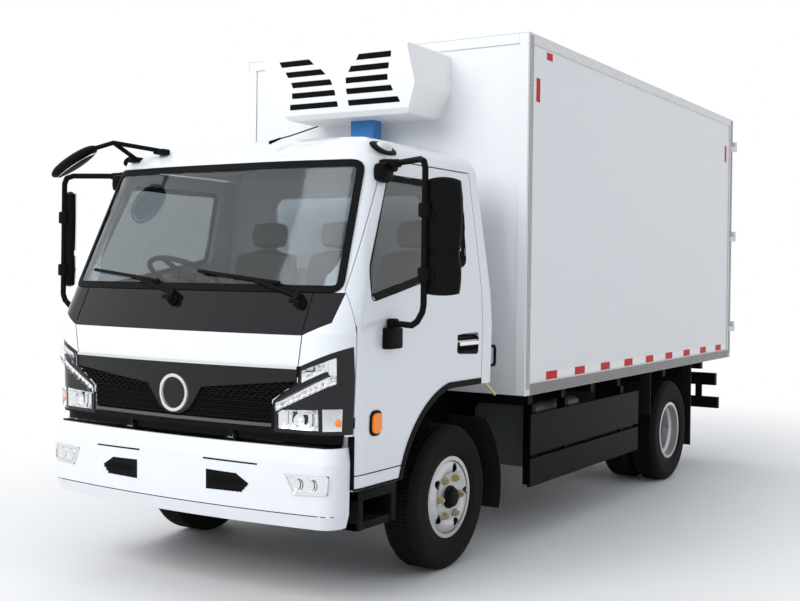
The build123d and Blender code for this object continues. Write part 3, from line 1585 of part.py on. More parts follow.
left_pieces = {
    "front_tyre": front_tyre_left,
    "front_rim": front_rim_left,
    "rear_tyres": rear_tyres_left,
    "rear_rims": rear_rims_left,
    "knuckle": knuckle_left,
    "door": door_left,
    "door_glass": door_glass_left,
    "mirror": mirror_left,
    "rear_door": rear_door_left,
}
pieces = {
    "frame_rails": frame_rails,
    "cross_members": cross_members,
    "front_axle": front_axle,
    "rear_axle": rear_axle,
    "leaf_springs": leaf_springs,
    "engine_block": engine_block,
    "front_bumper": front_bumper,
    "chassis_lamps": chassis_lamps,
    "side_guards": side_guards,
    "side_boxes": side_boxes,
    "mud_flaps": mud_flaps,
    "underrun_bar": underrun_bar,
    "box_floor": box_floor,
    "box_sides": box_sides,
    "box_front_wall": box_front_wall,
    "box_roof": box_roof,
    "box_rails": box_rails,
    "fridge_unit": fridge_unit,
    "hose_cover": hose_cover,
    "cab_front": cab_front,
    "cab_sides": cab_sides,
    "cab_roof": cab_roof,
    "cab_rear": cab_rear,
    "cab_floor": cab_floor,
    "cab_glass": cab_glass,
    "front_panel": front_panel,
    "grille": grille,
    "headlamps": headlamps,
    "dashboard": dashboard,
    "steering_wheel": steering_wheel,
    "seats": seats,
    "wipers": wipers,
    "kerb_mirror": kerb_mirror,
}
for name, piece in left_pieces.items():
    with BuildPart() as right_piece:
        mirror(piece.part, about=Plane.YZ)
    pieces[f"{name}_left"] = piece
    pieces[f"{name}_right"] = right_piece

os.makedirs("parts", exist_ok=True)
for name, piece in pieces.items():
    piece.part.label = name
    export_step(piece.part, f"parts/{name}.step")
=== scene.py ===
"""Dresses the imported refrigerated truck: finishes, tyres, lamps, trim, cabin and a plain studio."""
import json
from collections import namedtuple
from math import cos, pi, radians, sin

import bmesh
import bpy
from mathutils import Matrix, Vector
from mathutils.bvhtree import BVHTree


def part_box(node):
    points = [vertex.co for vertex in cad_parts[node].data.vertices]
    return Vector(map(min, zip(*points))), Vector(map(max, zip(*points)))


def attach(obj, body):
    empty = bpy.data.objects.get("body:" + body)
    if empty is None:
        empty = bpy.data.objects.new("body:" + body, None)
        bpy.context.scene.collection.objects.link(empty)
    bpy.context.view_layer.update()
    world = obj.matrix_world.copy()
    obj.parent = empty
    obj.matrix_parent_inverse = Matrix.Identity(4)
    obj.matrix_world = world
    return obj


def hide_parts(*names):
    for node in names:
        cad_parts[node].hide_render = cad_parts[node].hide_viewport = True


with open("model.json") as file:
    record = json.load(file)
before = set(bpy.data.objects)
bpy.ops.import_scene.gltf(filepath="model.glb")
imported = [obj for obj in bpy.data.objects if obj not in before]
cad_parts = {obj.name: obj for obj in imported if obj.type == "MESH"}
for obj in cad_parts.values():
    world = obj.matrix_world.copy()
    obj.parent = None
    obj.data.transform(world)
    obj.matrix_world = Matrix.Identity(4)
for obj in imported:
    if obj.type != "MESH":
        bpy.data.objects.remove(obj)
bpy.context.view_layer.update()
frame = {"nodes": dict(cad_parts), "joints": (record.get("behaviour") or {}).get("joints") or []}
nodes = frame["nodes"]
SIDES = (("left", 1), ("right", -1))


def joint_y(name):
    """Place of a joint along the truck."""
    return next(joint for joint in frame["joints"] if joint["name"] == name)["pos_m"][1]


FRONT_AXLE_Y, REAR_AXLE_Y = joint_y("steer_left"), joint_y("rear_wheel_left_spin")


# Materials: shared node groups first, then one call per finish

def wire(tree, kind, inputs=None, **settings):
    """Adds a shader node with its settings; each input is linked to a socket or set to a value."""
    node = tree.nodes.new(f"ShaderNode{kind}")
    for label, value in settings.items():
        setattr(node, label, value)
    for label, value in (inputs or {}).items():
        if isinstance(value, bpy.types.NodeSocket):
            tree.links.new(value, node.inputs[label])
        else:
            node.inputs[label].default_value = value
    return node


def new_group(name, inputs, outputs):
    """Empty shader node group with named sockets, and the sockets that give and take inside it."""
    group = bpy.data.node_groups.new(name, "ShaderNodeTree")
    for label, kind, default in inputs:
        socket = group.interface.new_socket(label, in_out="INPUT", socket_type=f"NodeSocket{kind}")
        socket.default_value = default
    for label, kind in outputs:
        group.interface.new_socket(label, in_out="OUTPUT", socket_type=f"NodeSocket{kind}")
    return group, group.nodes.new("NodeGroupInput").outputs, group.nodes.new("NodeGroupOutput").inputs


def road_dust_group():
    """Dust that thickens towards the road, broken up by noise."""
    group, given, result = new_group(
        "road_dust",
        [("Clean", "Color", (1, 1, 1, 1)), ("Dust", "Color", (0.3, 0.28, 0.25, 1)), ("Top", "Float", 1.2),
         ("Amount", "Float", 0.3)],
        [("Color", "Color")],
    )
    place = wire(group, "TexCoord").outputs["Object"]
    height = wire(group, "SeparateXYZ", {0: place}).outputs["Z"]
    fall = wire(group, "MapRange", {"Value": height, "From Min": 0.0, "From Max": given["Top"], "To Min": 1.0,
                                    "To Max": 0.0})
    noise = wire(group, "TexNoise", {"Vector": place, "Scale": 6.0, "Detail": 6.0, "Roughness": 0.65})
    patch = wire(group, "Math", {0: fall.outputs["Result"], 1: noise.outputs["Fac"]}, operation="MULTIPLY")
    mask = wire(group, "Math", {0: patch.outputs[0], 1: given["Amount"]}, operation="MULTIPLY")
    mix = wire(group, "Mix", {"Factor": mask.outputs[0], "A": given["Clean"], "B": given["Dust"]}, data_type="RGBA")
    group.links.new(mix.outputs["Result"], result["Color"])
    return group


def grain_group():
    """Fine even grain: a height for bump and a roughness that varies with it."""
    group, given, result = new_group(
        "fine_grain",
        [("Scale", "Float", 400.0), ("Low", "Float", 0.3), ("High", "Float", 0.5), ("Stretch", "Vector", (1, 1, 1))],
        [("Height", "Float"), ("Roughness", "Float")],
    )
    place = wire(group, "TexCoord").outputs["Object"]
    stretch = wire(group, "VectorMath", {0: place, 1: given["Stretch"]}, operation="MULTIPLY").outputs[0]
    noise = wire(group, "TexNoise", {"Vector": stretch, "Scale": given["Scale"], "Detail": 4.0}).outputs["Fac"]
    rough = wire(group, "MapRange", {"Value": noise, "From Min": 0.3, "From Max": 0.7, "To Min": given["Low"],
                                     "To Max": given["High"]})
    group.links.new(noise, result["Height"])
    group.links.new(rough.outputs["Result"], result["Roughness"])
    return group


ROAD_DUST = road_dust_group()
FINE_GRAIN = grain_group()
SHADER_SOCKETS = {"metallic": "Metallic", "coat_weight": "Coat Weight", "coat_roughness": "Coat Roughness",
                  "ior": "IOR", "specular": "Specular IOR Level", "clearness": "Transmission Weight",
                  "glow": "Emission Strength", "glow_colour": "Emission Color"}


def finish(name, colour, grain, rough, bump=0.0, bump_depth=0.0005, stretch=(1, 1, 1), dust=0.0, dust_top=1.2,
           dust_colour=(0.30, 0.28, 0.25), **fixed):
    """Principled finish with dust and grain; fixed values go straight onto the shader's own sockets."""
    material = bpy.data.materials.new(name)
    material.use_nodes = True
    tree = material.node_tree
    shader = tree.nodes["Principled BSDF"].inputs
    grains = wire(tree, "Group", node_tree=FINE_GRAIN, inputs={
        "Scale": grain, "Low": rough[0], "High": rough[1], "Stretch": stretch}).outputs
    tree.links.new(grains["Roughness"], shader["Roughness"])
    if dust:
        layer = wire(tree, "Group", node_tree=ROAD_DUST, inputs={
            "Clean": (*colour, 1), "Dust": (*dust_colour, 1), "Top": dust_top, "Amount": dust})
        tree.links.new(layer.outputs["Color"], shader["Base Color"])
    else:
        shader["Base Color"].default_value = (*colour, 1)
    if bump:
        relief = wire(tree, "Bump", {"Strength": bump, "Distance": bump_depth, "Height": grains["Height"]})
        tree.links.new(relief.outputs["Normal"], shader["Normal"])
    for label, value in fixed.items():
        shader[SHADER_SOCKETS[label]].default_value = value
    return material


def glowing(name, colour, strength):
    """Lamp finish that gives off a little of its own light."""
    return finish(name, colour, 400, (0.15, 0.3), glow=strength, glow_colour=(*colour, 1))


def clear(name, colour, ior):
    """See-through glass or lens; thin, so it hardly bends what lies behind it."""
    return finish(name, colour, 3, (0.02, 0.05), clearness=1.0, ior=ior)


CAB_WHITE = finish("cab_white", (0.82, 0.845, 0.88), 900, (0.16, 0.24), 0.04, bump_depth=0.0002, dust=0.35,
                   dust_top=0.95, coat_weight=0.6, coat_roughness=0.05)
BOX_WHITE = finish("box_white", (0.86, 0.87, 0.885), 14, (0.28, 0.38), 0.05, bump_depth=0.004, dust=0.2, dust_top=1.4)
UNIT_WHITE = finish("unit_white", (0.95, 0.95, 0.94), 500, (0.32, 0.45), 0.06)
ALUMINIUM = finish("aluminium", (0.62, 0.63, 0.65), 60, (0.26, 0.42), 0.05, stretch=(8, 0.4, 0.4), dust=0.25,
                   dust_top=1.3, metallic=0.7)
RAIL_GREY = finish("rail_grey", (0.21, 0.21, 0.215), 60, (0.32, 0.48), 0.05, stretch=(8, 0.4, 0.4), dust=0.5,
                   dust_top=1.3, metallic=0.5)
POST_ALUMINIUM = finish("post_aluminium", (0.48, 0.49, 0.50), 60, (0.30, 0.45), 0.05, stretch=(8, 8, 0.3),
                        metallic=0.7)
FRAME_BLACK = finish("frame_black", (0.006, 0.006, 0.007), 300, (0.40, 0.62), 0.1, dust=0.5, dust_top=1.0,
                     dust_colour=(0.022, 0.021, 0.019), specular=0.05)
GUARD_BLACK = finish("guard_black", (0.003, 0.0032, 0.0032), 300, (0.30, 0.5), 0.08, dust=0.4, dust_top=0.8,
                     dust_colour=(0.012, 0.012, 0.011), specular=0.04)
CAST_GREY = finish("cast_grey", (0.10, 0.10, 0.105), 160, (0.5, 0.75), 0.3, dust=0.6,
                   dust_colour=(0.14, 0.13, 0.11), metallic=0.3)
TANK_GREY = finish("tank_grey", (0.075, 0.082, 0.080), 250, (0.38, 0.55), 0.08, dust=0.4, dust_top=0.9,
                   dust_colour=(0.10, 0.10, 0.09))
GLOSS_BLACK = finish("gloss_black", (0.006, 0.006, 0.009), 700, (0.05, 0.10), specular=0.35)
GRAINED_BLACK = finish("grained_black", (0.005, 0.005, 0.0055), 520, (0.42, 0.6), 0.25, dust=0.2, dust_top=1.4,
                       dust_colour=(0.02, 0.019, 0.018), specular=0.06)
SEAL_BLACK = finish("seal_black", (0.006, 0.006, 0.0065), 600, (0.5, 0.7), 0.1, specular=0.1)
WING_GREY = finish("wing_grey", (0.009, 0.010, 0.010), 900, (0.10, 0.2), specular=0.25)
CHROME = finish("chrome", (0.78, 0.79, 0.80), 20, (0.05, 0.11), metallic=1.0)
REFLECTOR = finish("reflector", (0.84, 0.85, 0.87), 70, (0.06, 0.2), 0.4, bump_depth=0.003, metallic=1.0)
RIM_SILVER = finish("rim_silver", (0.56, 0.57, 0.585), 350, (0.24, 0.4), 0.08, dust=0.5, dust_top=0.75,
                    dust_colour=(0.26, 0.24, 0.21), metallic=0.65)
NUT_BRASS = finish("nut_brass", (0.52, 0.45, 0.24), 250, (0.28, 0.45), 0.1, dust=0.4, metallic=0.85)
TYRE_RUBBER = finish("tyre_rubber", (0.007, 0.007, 0.0075), 260, (0.58, 0.78), 0.2, dust=0.4, dust_top=0.8,
                     dust_colour=(0.025, 0.024, 0.022), specular=0.07)
FLAP_RUBBER = finish("flap_rubber", (0.010, 0.010, 0.011), 200, (0.5, 0.7), 0.15, dust=0.5,
                     dust_colour=(0.03, 0.029, 0.027), specular=0.1)
CABIN_GREY = finish("cabin_grey", (0.050, 0.050, 0.054), 420, (0.5, 0.68), 0.25)
SEAT_CLOTH = finish("seat_cloth", (0.085, 0.088, 0.095), 180, (0.55, 0.75), 0.35, coat_weight=0.5,
                    coat_roughness=0.15)
HOSE_BLUE = finish("hose_blue", (0.030, 0.20, 0.52), 240, (0.35, 0.5), 0.15)
TAPE_RED = finish("tape_red", (0.60, 0.012, 0.010), 900, (0.35, 0.5), 0.2, specular=0.15)
TAPE_WHITE = finish("tape_white", (0.84, 0.84, 0.84), 900, (0.2, 0.3), 0.2, coat_weight=0.5)
LEVER_YELLOW = finish("lever_yellow", (0.66, 0.62, 0.30), 300, (0.4, 0.55), 0.1)
PALE_LENS = finish("pale_lens", (0.74, 0.75, 0.76), 220, (0.12, 0.25), 0.2, coat_weight=0.6)
MIRROR_FACE = finish("mirror_face", (0.86, 0.88, 0.90), 10, (0.015, 0.03), metallic=1.0)
LAMP_AMBER = glowing("lamp_amber", (0.85, 0.22, 0.01), 0.25)
LAMP_RED = glowing("lamp_red", (0.55, 0.015, 0.012), 0.15)
LED_WHITE = glowing("led_white", (0.90, 0.92, 0.95), 0.35)
SCREEN_GLASS = clear("screen_glass", (0.60, 0.65, 0.68), 1.5)
DOOR_GLASS = clear("door_glass", (0.30, 0.33, 0.34), 1.5)
LAMP_LENS = clear("lamp_lens", (0.96, 0.97, 0.98), 1.2)
PLASTIC = ([GRAINED_BLACK], "black_plastic")
SEAL = ([SEAL_BLACK], "black_plastic")


# Mesh helpers: each adds to an open bmesh, and put() turns it into a piece that rides a body

X, Y, Z = Vector((1, 0, 0)), Vector((0, 1, 0)), Vector((0, 0, 1))
FORWARD = (0, -1, 0)
View = namedtuple("View", "across up toward")
FRONT, REAR, FROM_TOP = View(X, Z, Y), View(X, Z, -Y), View(X, Y, -Z)
FROM_SIDE = {side: View(Y, Z, -side * X) for _, side in SIDES}
SHARP_ANGLE = radians(35)
RAY_START, RAY_PROBE = 6, 0.003


def put(name, bm, body, materials, slot, stands_for=()):
    """Finishes a bmesh as a named piece on a body, optionally in place of some nodes."""
    bmesh.ops.recalc_face_normals(bm, faces=bm.faces[:])
    mesh = bpy.data.meshes.new(name)
    bm.to_mesh(mesh)
    bm.free()
    for material in materials:
        mesh.materials.append(material)
    mesh.shade_smooth()
    mesh.set_sharp_from_angle(angle=SHARP_ANGLE)
    piece = bpy.data.objects.new(name, mesh)
    bpy.context.scene.collection.objects.link(piece)
    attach(piece, body)
    for node in stands_for:
        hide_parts(node)
    return piece


def paint(verts, material):
    """Gives every face on these vertices a material number."""
    for face in {face for vert in verts for face in vert.link_faces}:
        face.material_index = material


def absorb(bm, part, material=None):
    """Moves a finished part's faces into a larger bmesh, all in one material if it is given."""
    if material is not None:
        paint(part.verts, material)
    holder = bpy.data.meshes.new("part")
    part.to_mesh(holder)
    part.free()
    bm.from_mesh(holder)
    bpy.data.meshes.remove(holder)


def to_side(bm, side):
    """Keeps a form made for the truck's left there, or flips it to the right."""
    bmesh.ops.transform(bm, matrix=Matrix.Diagonal((side, 1, 1, 1)), verts=bm.verts[:])


def add_block(bm, corner, opposite, bevel=0.0, segments=2, material=0, turn=None, about=(0, 0, 0)):
    """Block between two opposite corners counted from a place, with rounded edges, optionally turned."""
    low, high = (Vector(about) + Vector([pick(pair) for pair in zip(corner, opposite)]) for pick in (min, max))
    place = Matrix.Translation((low + high) / 2) @ Matrix.Diagonal((*(high - low), 1))
    made = bmesh.ops.create_cube(bm, size=1.0, matrix=place)["verts"]
    if bevel:
        edges = list({edge for vert in made for edge in vert.link_edges})
        made = bmesh.ops.bevel(bm, geom=edges, offset=bevel, affect="EDGES", segments=segments, profile=0.5,
                               material=-1)["verts"]
    if turn:
        bmesh.ops.transform(bm, matrix=turn, verts=made)
    paint(made, material)


def add_rod(bm, start, end, radius, end_radius=None, sides=16):
    """Straight round bar, or a cone, between two points."""
    start, end = Vector(start), Vector(end)
    turn = (end - start).to_track_quat("Z", "Y").to_matrix().to_4x4()
    bmesh.ops.create_cone(bm, cap_ends=True, segments=sides, radius1=radius,
                          radius2=radius if end_radius is None else end_radius, depth=(end - start).length,
                          matrix=Matrix.Translation((start + end) / 2) @ turn)


def add_tube(bm, points, radius, sides=10):
    """Bent round bar through points, with a ball of the same size at each bend."""
    for start, end in zip(points, points[1:]):
        add_rod(bm, start, end, radius, sides=sides)
    for point in points:
        bmesh.ops.create_uvsphere(bm, u_segments=sides, v_segments=8, radius=radius, matrix=Matrix.Translation(point))


def add_turned(bm, profile, centre, axis, steps=48, material=0):
    """Profile of (along, radius) pairs turned about an axis through the centre."""
    centre, axis = Vector(centre), Vector(axis).normalized()
    side = axis.orthogonal().normalized()
    part = bmesh.new()
    start = [part.verts.new(centre + axis * along + side * radius) for along, radius in profile]
    edges = [part.edges.new(pair) for pair in zip(start, start[1:])]
    bmesh.ops.spin(part, geom=start + edges, cent=centre, axis=axis, angle=2 * pi, steps=steps, use_merge=True)
    bmesh.ops.remove_doubles(part, verts=part.verts[:], dist=1e-6)
    absorb(bm, part, material)


def add_bar(bm, rows, material=0):
    """Closed bar through rows of four corners."""
    rows = [[bm.verts.new(corner) for corner in row] for row in rows]
    for first, second in zip(rows, rows[1:]):
        for corner in range(4):
            after = (corner + 1) % 4
            bm.faces.new((first[corner], first[after], second[after], second[corner]))
    bm.faces.new(rows[0])
    bm.faces.new(rows[-1][::-1])
    paint([vert for row in rows for vert in row], material)


def add_cushion(bm, low, high, turn=None, puff=0.42, cuts=9, seam_depth=0.035):
    """Stuffed block: a fine grid pulled part of the way to a round form, with a sunk seam round its edge."""
    def ball(a, b, c):
        return a * (1 - b * b / 2 - c * c / 2 + b * b * c * c / 3) ** 0.5

    low, high = Vector(low), Vector(high)
    pad = bmesh.new()
    bmesh.ops.create_cube(pad, size=2.0)
    bmesh.ops.subdivide_edges(pad, edges=pad.edges[:], cuts=cuts, use_grid_fill=True)
    half, centre = (high - low) / 2, (high + low) / 2
    for vert in pad.verts:
        u, v, w = vert.co
        shape = vert.co.lerp(Vector((ball(u, v, w), ball(v, u, w), ball(w, u, v))), puff)
        shape.z *= 1.0 - seam_depth * max(0.0, 1 - abs(abs(u) - 0.62) / 0.12)
        vert.co = centre + Vector([shape[i] * half[i] for i in range(3)])
    if turn:
        bmesh.ops.transform(pad, matrix=turn, verts=pad.verts[:])
    absorb(bm, pad)


# Outlines in a view, as lists of (across, up)

def rect(a0, b0, a1, b1):
    """Upright four-cornered outline."""
    return [(a0, b0), (a0, b1), (a1, b1), (a1, b0)]


def circle(centre, radius, count, turn=0.0):
    """Corners of a round outline."""
    return [(centre[0] + radius * cos(turn + 2 * pi * k / count), centre[1] + radius * sin(turn + 2 * pi * k / count))
            for k in range(count)]


def neighbours(outline):
    """Each corner of an outline between the one before and the one after it."""
    points = [Vector(point) for point in outline]
    return zip(points[-1:] + points[:-1], points, points[1:] + points[:1])


def middle_of(outline):
    """Mean of an outline's corners."""
    return sum(map(Vector, outline), Vector((0, 0))) / len(outline)


def rounded(outline, radius, steps=4):
    """Outline with its corners rounded by curves of about a radius."""
    result = []
    for before, corner, after in neighbours(outline):
        reach = min(radius, (before - corner).length / 2.2, (after - corner).length / 2.2)
        start = corner + (before - corner).normalized() * reach
        end = corner + (after - corner).normalized() * reach
        for step in range(steps + 1):
            t = step / steps
            result.append(((1 - t) ** 2 * start + 2 * t * (1 - t) * corner + t ** 2 * end).to_tuple())
    return result


def inset(outline, amount):
    """Convex outline moved inwards by an amount on every side."""
    middle = middle_of(outline)
    result = []
    for before, corner, after in neighbours(outline):
        edges = ((corner - before).normalized(), (after - corner).normalized())
        normals = [Vector((-edge.y, edge.x)) for edge in edges]
        normals = [n if n.dot(middle - corner) > 0 else -n for n in normals]
        bisector = (normals[0] + normals[1]).normalized()
        result.append((corner + bisector * amount / max(bisector.dot(normals[0]), 0.3)).to_tuple())
    return result


def sided(outline, side):
    """Outline of the truck's left side as it is, or flipped across the middle for the right."""
    return outline if side > 0 else [(-a, b) for a, b in reversed(outline)]


# Sheets and bars that are pressed onto a surface along a view

def surface_of(*names):
    """Search tree over the outer faces of some nodes."""
    verts, faces = [], []
    for name in names:
        source = nodes[name]
        base = len(verts)
        verts += [source.matrix_world @ vert.co for vert in source.data.vertices]
        faces += [[base + index for index in face.vertices] for face in source.data.polygons]
    return BVHTree.FromPolygons(verts, faces)


def land(tree, view, a, b):
    """Point where a ray along the view meets a surface; narrow gaps between panels are stepped over.

    A ray that passes beside the surface takes the depth of the surface's nearest place.
    """
    depths = []
    for da, db in ((0, 0), (1, 1), (-1, -1), (1, -1), (-1, 1)):
        origin = view.across * (a + da * RAY_PROBE) + view.up * (b + db * RAY_PROBE) - view.toward * RAY_START
        hit = tree.ray_cast(origin, view.toward)
        if hit[0]:
            depths.append(hit[3])
    flat = view.across * a + view.up * b
    if not depths:
        return flat + view.toward * tree.find_nearest(flat - view.toward * RAY_START / 2)[0].dot(view.toward)
    depths.sort()
    return flat + view.toward * (depths[min(1, len(depths) - 1)] - RAY_START)


def add_draped(bm, outline, view, tree, thickness=0.004, step=0.05, stand=0.0, holes=(), material=0):
    """Sheet with a flat outline pressed onto a surface along a view, with convex holes and a thickness."""
    sheet = bmesh.new()
    sheet.faces.new([sheet.verts.new(view.across * a + view.up * b) for a, b in outline])

    def cut(place, normal):
        everything = sheet.verts[:] + sheet.edges[:] + sheet.faces[:]
        bmesh.ops.bisect_plane(sheet, geom=everything, plane_co=place, plane_no=normal)

    for direction, index in ((view.across, 0), (view.up, 1)):
        low, high = (pick(point[index] for point in outline) for pick in (min, max))
        count = int((high - low) / step)
        for number in range(1, count + 1):
            cut(direction * (low + (high - low) * number / (count + 1)), direction)
    for hole in holes:
        walls = []
        middle = middle_of(hole)
        for (a0, b0), (a1, b1) in zip(hole, hole[1:] + hole[:1]):
            normal = Vector((b1 - b0, a0 - a1)).normalized()
            if normal.dot(middle - Vector((a0, b0))) > 0:
                normal = -normal
            walls.append((Vector((a0, b0)), normal))
            cut(view.across * a0 + view.up * b0, view.across * normal.x + view.up * normal.y)
        inside = []
        for face in sheet.faces:
            centre = face.calc_center_median()
            flat = Vector((centre.dot(view.across), centre.dot(view.up)))
            if all((flat - corner).dot(normal) < 0 for corner, normal in walls):
                inside.append(face)
        bmesh.ops.delete(sheet, geom=inside, context="FACES")
    for vert in sheet.verts:
        vert.co = land(tree, view, vert.co.dot(view.across), vert.co.dot(view.up))
    bmesh.ops.recalc_face_normals(sheet, faces=sheet.faces[:])
    if sum(face.normal.dot(view.toward) * face.calc_area() for face in sheet.faces) > 0:
        bmesh.ops.reverse_faces(sheet, faces=sheet.faces[:])
    sheet.normal_update()
    for vert in sheet.verts:
        vert.co += vert.normal * stand
    lifted = bmesh.ops.extrude_face_region(sheet, geom=sheet.faces[:], use_keep_orig=True)["geom"]
    sheet.normal_update()
    for item in lifted:
        if isinstance(item, bmesh.types.BMVert):
            item.co += item.normal * thickness
    absorb(bm, sheet, material)


def add_band(bm, outline, width, view, tree, **sheet):
    """Draped ring of a width inside an outline."""
    add_draped(bm, outline, view, tree, holes=[inset(outline, width)], **sheet)


def add_ribbon(bm, points, height, depth, tree, stand, material=0, cast_up=None):
    """Flat bar that follows points of the front view over a surface; its depth may be cast at one height."""
    rows = []
    rise, back = Z * height / 2, Y * depth
    for x, z in points:
        foot = land(tree, FRONT, x, z if cast_up is None else cast_up) - Y * stand
        foot += Z * (z - foot.z)
        rows.append([foot + offset for offset in (rise, -rise, -rise + back, rise + back)])
    add_bar(bm, rows, material)


def level_line(half, z, count=20):
    """Points of a level line across the truck's middle."""
    return [(-half + 2 * half * k / count, z) for k in range(count + 1)]


def zigzag(start, end, z, count, rise):
    """Points of a mesh wire that steps up and down on its way."""
    return [(start + (end - start) * k / count, z + (rise if k % 2 else -rise)) for k in range(count + 1)]


# Finishes of the CAD nodes

FINISHES = (
    (CAB_WHITE, "cab_front cab_sides cab_roof cab_rear front_bumper door_left door_right"),
    (CABIN_GREY, "cab_floor dashboard steering_wheel seats"),
    (SCREEN_GLASS, "cab_glass"),
    (DOOR_GLASS, "door_glass_left door_glass_right"),
    (GLOSS_BLACK, "front_panel headlamps"),
    (GRAINED_BLACK, "grille kerb_mirror chassis_lamps mirror_left mirror_right"),
    (SEAL_BLACK, "wipers"),
    # box_floor takes frame black so the bearers under the box read dark: painted shade under the box.
    (FRAME_BLACK, "frame_rails cross_members front_axle rear_axle leaf_springs underrun_bar box_floor"),
    (CAST_GREY, "engine_block knuckle_left knuckle_right"),
    (GUARD_BLACK, "side_guards"),
    (TANK_GREY, "side_boxes"),
    (FLAP_RUBBER, "mud_flaps"),
    (BOX_WHITE, "box_sides box_front_wall box_roof rear_door_left rear_door_right"),
    (ALUMINIUM, "box_rails"),
    (UNIT_WHITE, "fridge_unit"),
    (HOSE_BLUE, "hose_cover"),
    (TYRE_RUBBER, "front_tyre_left front_tyre_right rear_tyres_left rear_tyres_right"),
    (RIM_SILVER, "front_rim_left front_rim_right rear_rims_left rear_rims_right"),
)
for material, names in FINISHES:
    for name in names.split():
        node = nodes[name]
        if not node.material_slots:
            node.data.materials.append(material)
        for holder in node.material_slots:
            holder.material = material


# Wheels: tyres with raised tread blocks, two to a side at the rear, bowed front discs and nuts

FRONT_WHEEL_X, REAR_WHEEL_XS = 0.851, (0.940, 0.695)
TYRE_RADIUS, TREAD_BASE, TREAD_STEPS, TREAD_GROOVE = 0.394, 0.387, 108, 0.0028
RIB_EDGES, RIB_LEAST = (0.076, 0.047, 0.043, 0.016, 0.012), 0.010
SIDEWALL = ((0.084, 0.2085), (0.094, 0.226), (0.0985, 0.243), (0.1005, 0.246), (0.1055, 0.270), (0.1072, 0.300),
            (0.1062, 0.330), (0.1075, 0.334), (0.1055, 0.345), (0.1005, 0.366), (0.090, 0.381))
NUT_PITCH, NUT_COUNT = 0.111, 6
Nut = namedtuple("Nut", "low high radius end_radius sides")
NUT_STACK = (Nut(-0.003, 0.004, 0.026, 0.026, 20), Nut(0.003, 0.026, 0.0195, 0.0195, 6),
             Nut(0.025, 0.036, 0.012, 0.010, 14))
HAND_HOLES, HAND_HOLE_PITCH, HAND_HOLE_RADIUS = 5, 0.160, 0.025
DISC_RADIUS = 0.1985
DISC_BOWL = ((0.066, 0.1995), (0.084, 0.194), (0.094, 0.182), (0.099, 0.166), (0.098, 0.150), (0.092, 0.139),
             (0.090, 0.130), (0.090, 0.0))
DISC_SHADE_WELL = ((0.055, 0.190), (0.055, 0.130))
HUB_COVER = ((0.086, 0.064), (0.104, 0.062), (0.110, 0.054), (0.124, 0.050), (0.128, 0.044), (0.128, 0.0))


def add_tyre(bm, centre_x, axle_y):
    """Casing turned about the axle, then each rib face raised as a tread block."""
    half = list(SIDEWALL) + [(edge, TREAD_BASE) for edge in RIB_EDGES]
    profile = half + [(-along, radius) for along, radius in reversed(half)]
    axle = Vector((centre_x, axle_y, TYRE_RADIUS))
    casing = bmesh.new()
    add_turned(casing, profile + profile[:1], axle, X, steps=TREAD_STEPS)
    blocks = []
    for face in casing.faces:
        offsets = [vert.co - axle for vert in face.verts]
        width = max(place.x for place in offsets) - min(place.x for place in offsets)
        if min(place.yz.length for place in offsets) > TREAD_BASE - 0.001 and width > RIB_LEAST:
            blocks.append(face)
    bmesh.ops.recalc_face_normals(casing, faces=casing.faces[:])
    bmesh.ops.inset_individual(casing, faces=blocks, thickness=TREAD_GROOVE, depth=TYRE_RADIUS - TREAD_BASE,
                               use_even_offset=True)
    absorb(bm, casing)


def add_nuts(bm, tree, side, axle_y):
    """Six-sided nuts with washers and stud ends, set where the wheel's face is found."""
    for a, b in circle((axle_y, TYRE_RADIUS), NUT_PITCH, NUT_COUNT):
        foot = land(tree, FROM_SIDE[side], a, b)
        for part in NUT_STACK:
            add_rod(bm, foot + side * X * part.low, foot + side * X * part.high, part.radius, part.end_radius, part.sides)


def add_front_disc(bm, side):
    """Bowed wheel disc with hand holes over a black well that paints the shade behind them, and the hub cover in its
    middle.
    """
    middle = Vector((side * FRONT_WHEEL_X, FRONT_AXLE_Y, TYRE_RADIUS))
    outward = side * X
    bowl = bmesh.new()
    add_turned(bowl, DISC_BOWL, middle, outward, steps=72)
    tree = BVHTree.FromBMesh(bowl)
    bowl.free()
    centre = (FRONT_AXLE_Y, TYRE_RADIUS)
    places = circle(centre, HAND_HOLE_PITCH, HAND_HOLES, radians(76))
    add_draped(bm, circle(centre, DISC_RADIUS, 60), FROM_SIDE[side], tree, step=0.014,
               holes=[circle(place, HAND_HOLE_RADIUS, 12) for place in places])
    # Black cone behind the hand holes: painted shade where the inside of the wheel shows.
    add_turned(bm, DISC_SHADE_WELL, middle, outward, material=1)
    add_turned(bm, HUB_COVER, middle, outward, steps=40, material=1)
    return tree


for word, side in SIDES:
    bm = bmesh.new()
    add_tyre(bm, side * FRONT_WHEEL_X, FRONT_AXLE_Y)
    put(f"front_tyre_tread_{word}", bm, f"front_wheel_{word}", [TYRE_RUBBER], "tyre", [f"front_tyre_{word}"])
    bm = bmesh.new()
    for centre in REAR_WHEEL_XS:
        add_tyre(bm, side * centre, REAR_AXLE_Y)
    put(f"rear_tyre_treads_{word}", bm, f"rear_wheel_{word}", [TYRE_RUBBER], "tyre", [f"rear_tyres_{word}"])
    bm = bmesh.new()
    disc = add_front_disc(bm, side)
    put(f"front_wheel_disc_{word}", bm, f"front_wheel_{word}", [RIM_SILVER, GRAINED_BLACK], "rim_silver")
    for end, face, axle_y in (("front", disc, FRONT_AXLE_Y), ("rear", surface_of(f"rear_rims_{word}"), REAR_AXLE_Y)):
        bm = bmesh.new()
        add_nuts(bm, face, side, axle_y)
        put(f"{end}_wheel_nuts_{word}", bm, f"{end}_wheel_{word}", [NUT_BRASS], "rim_silver")


# Cab front: windscreen seal, grille, headlamps, black trim with painted shade in the gap below it, wiper pivots and
# seams

CAB_FACE = surface_of("cab_front", "cab_sides", "cab_roof", "front_panel", "grille", "headlamps", "cab_glass",
                      "door_left", "door_right")
SCREEN = [(-0.915, 1.519), (0.915, 1.519), (0.850, 2.184), (-0.850, 2.184)]

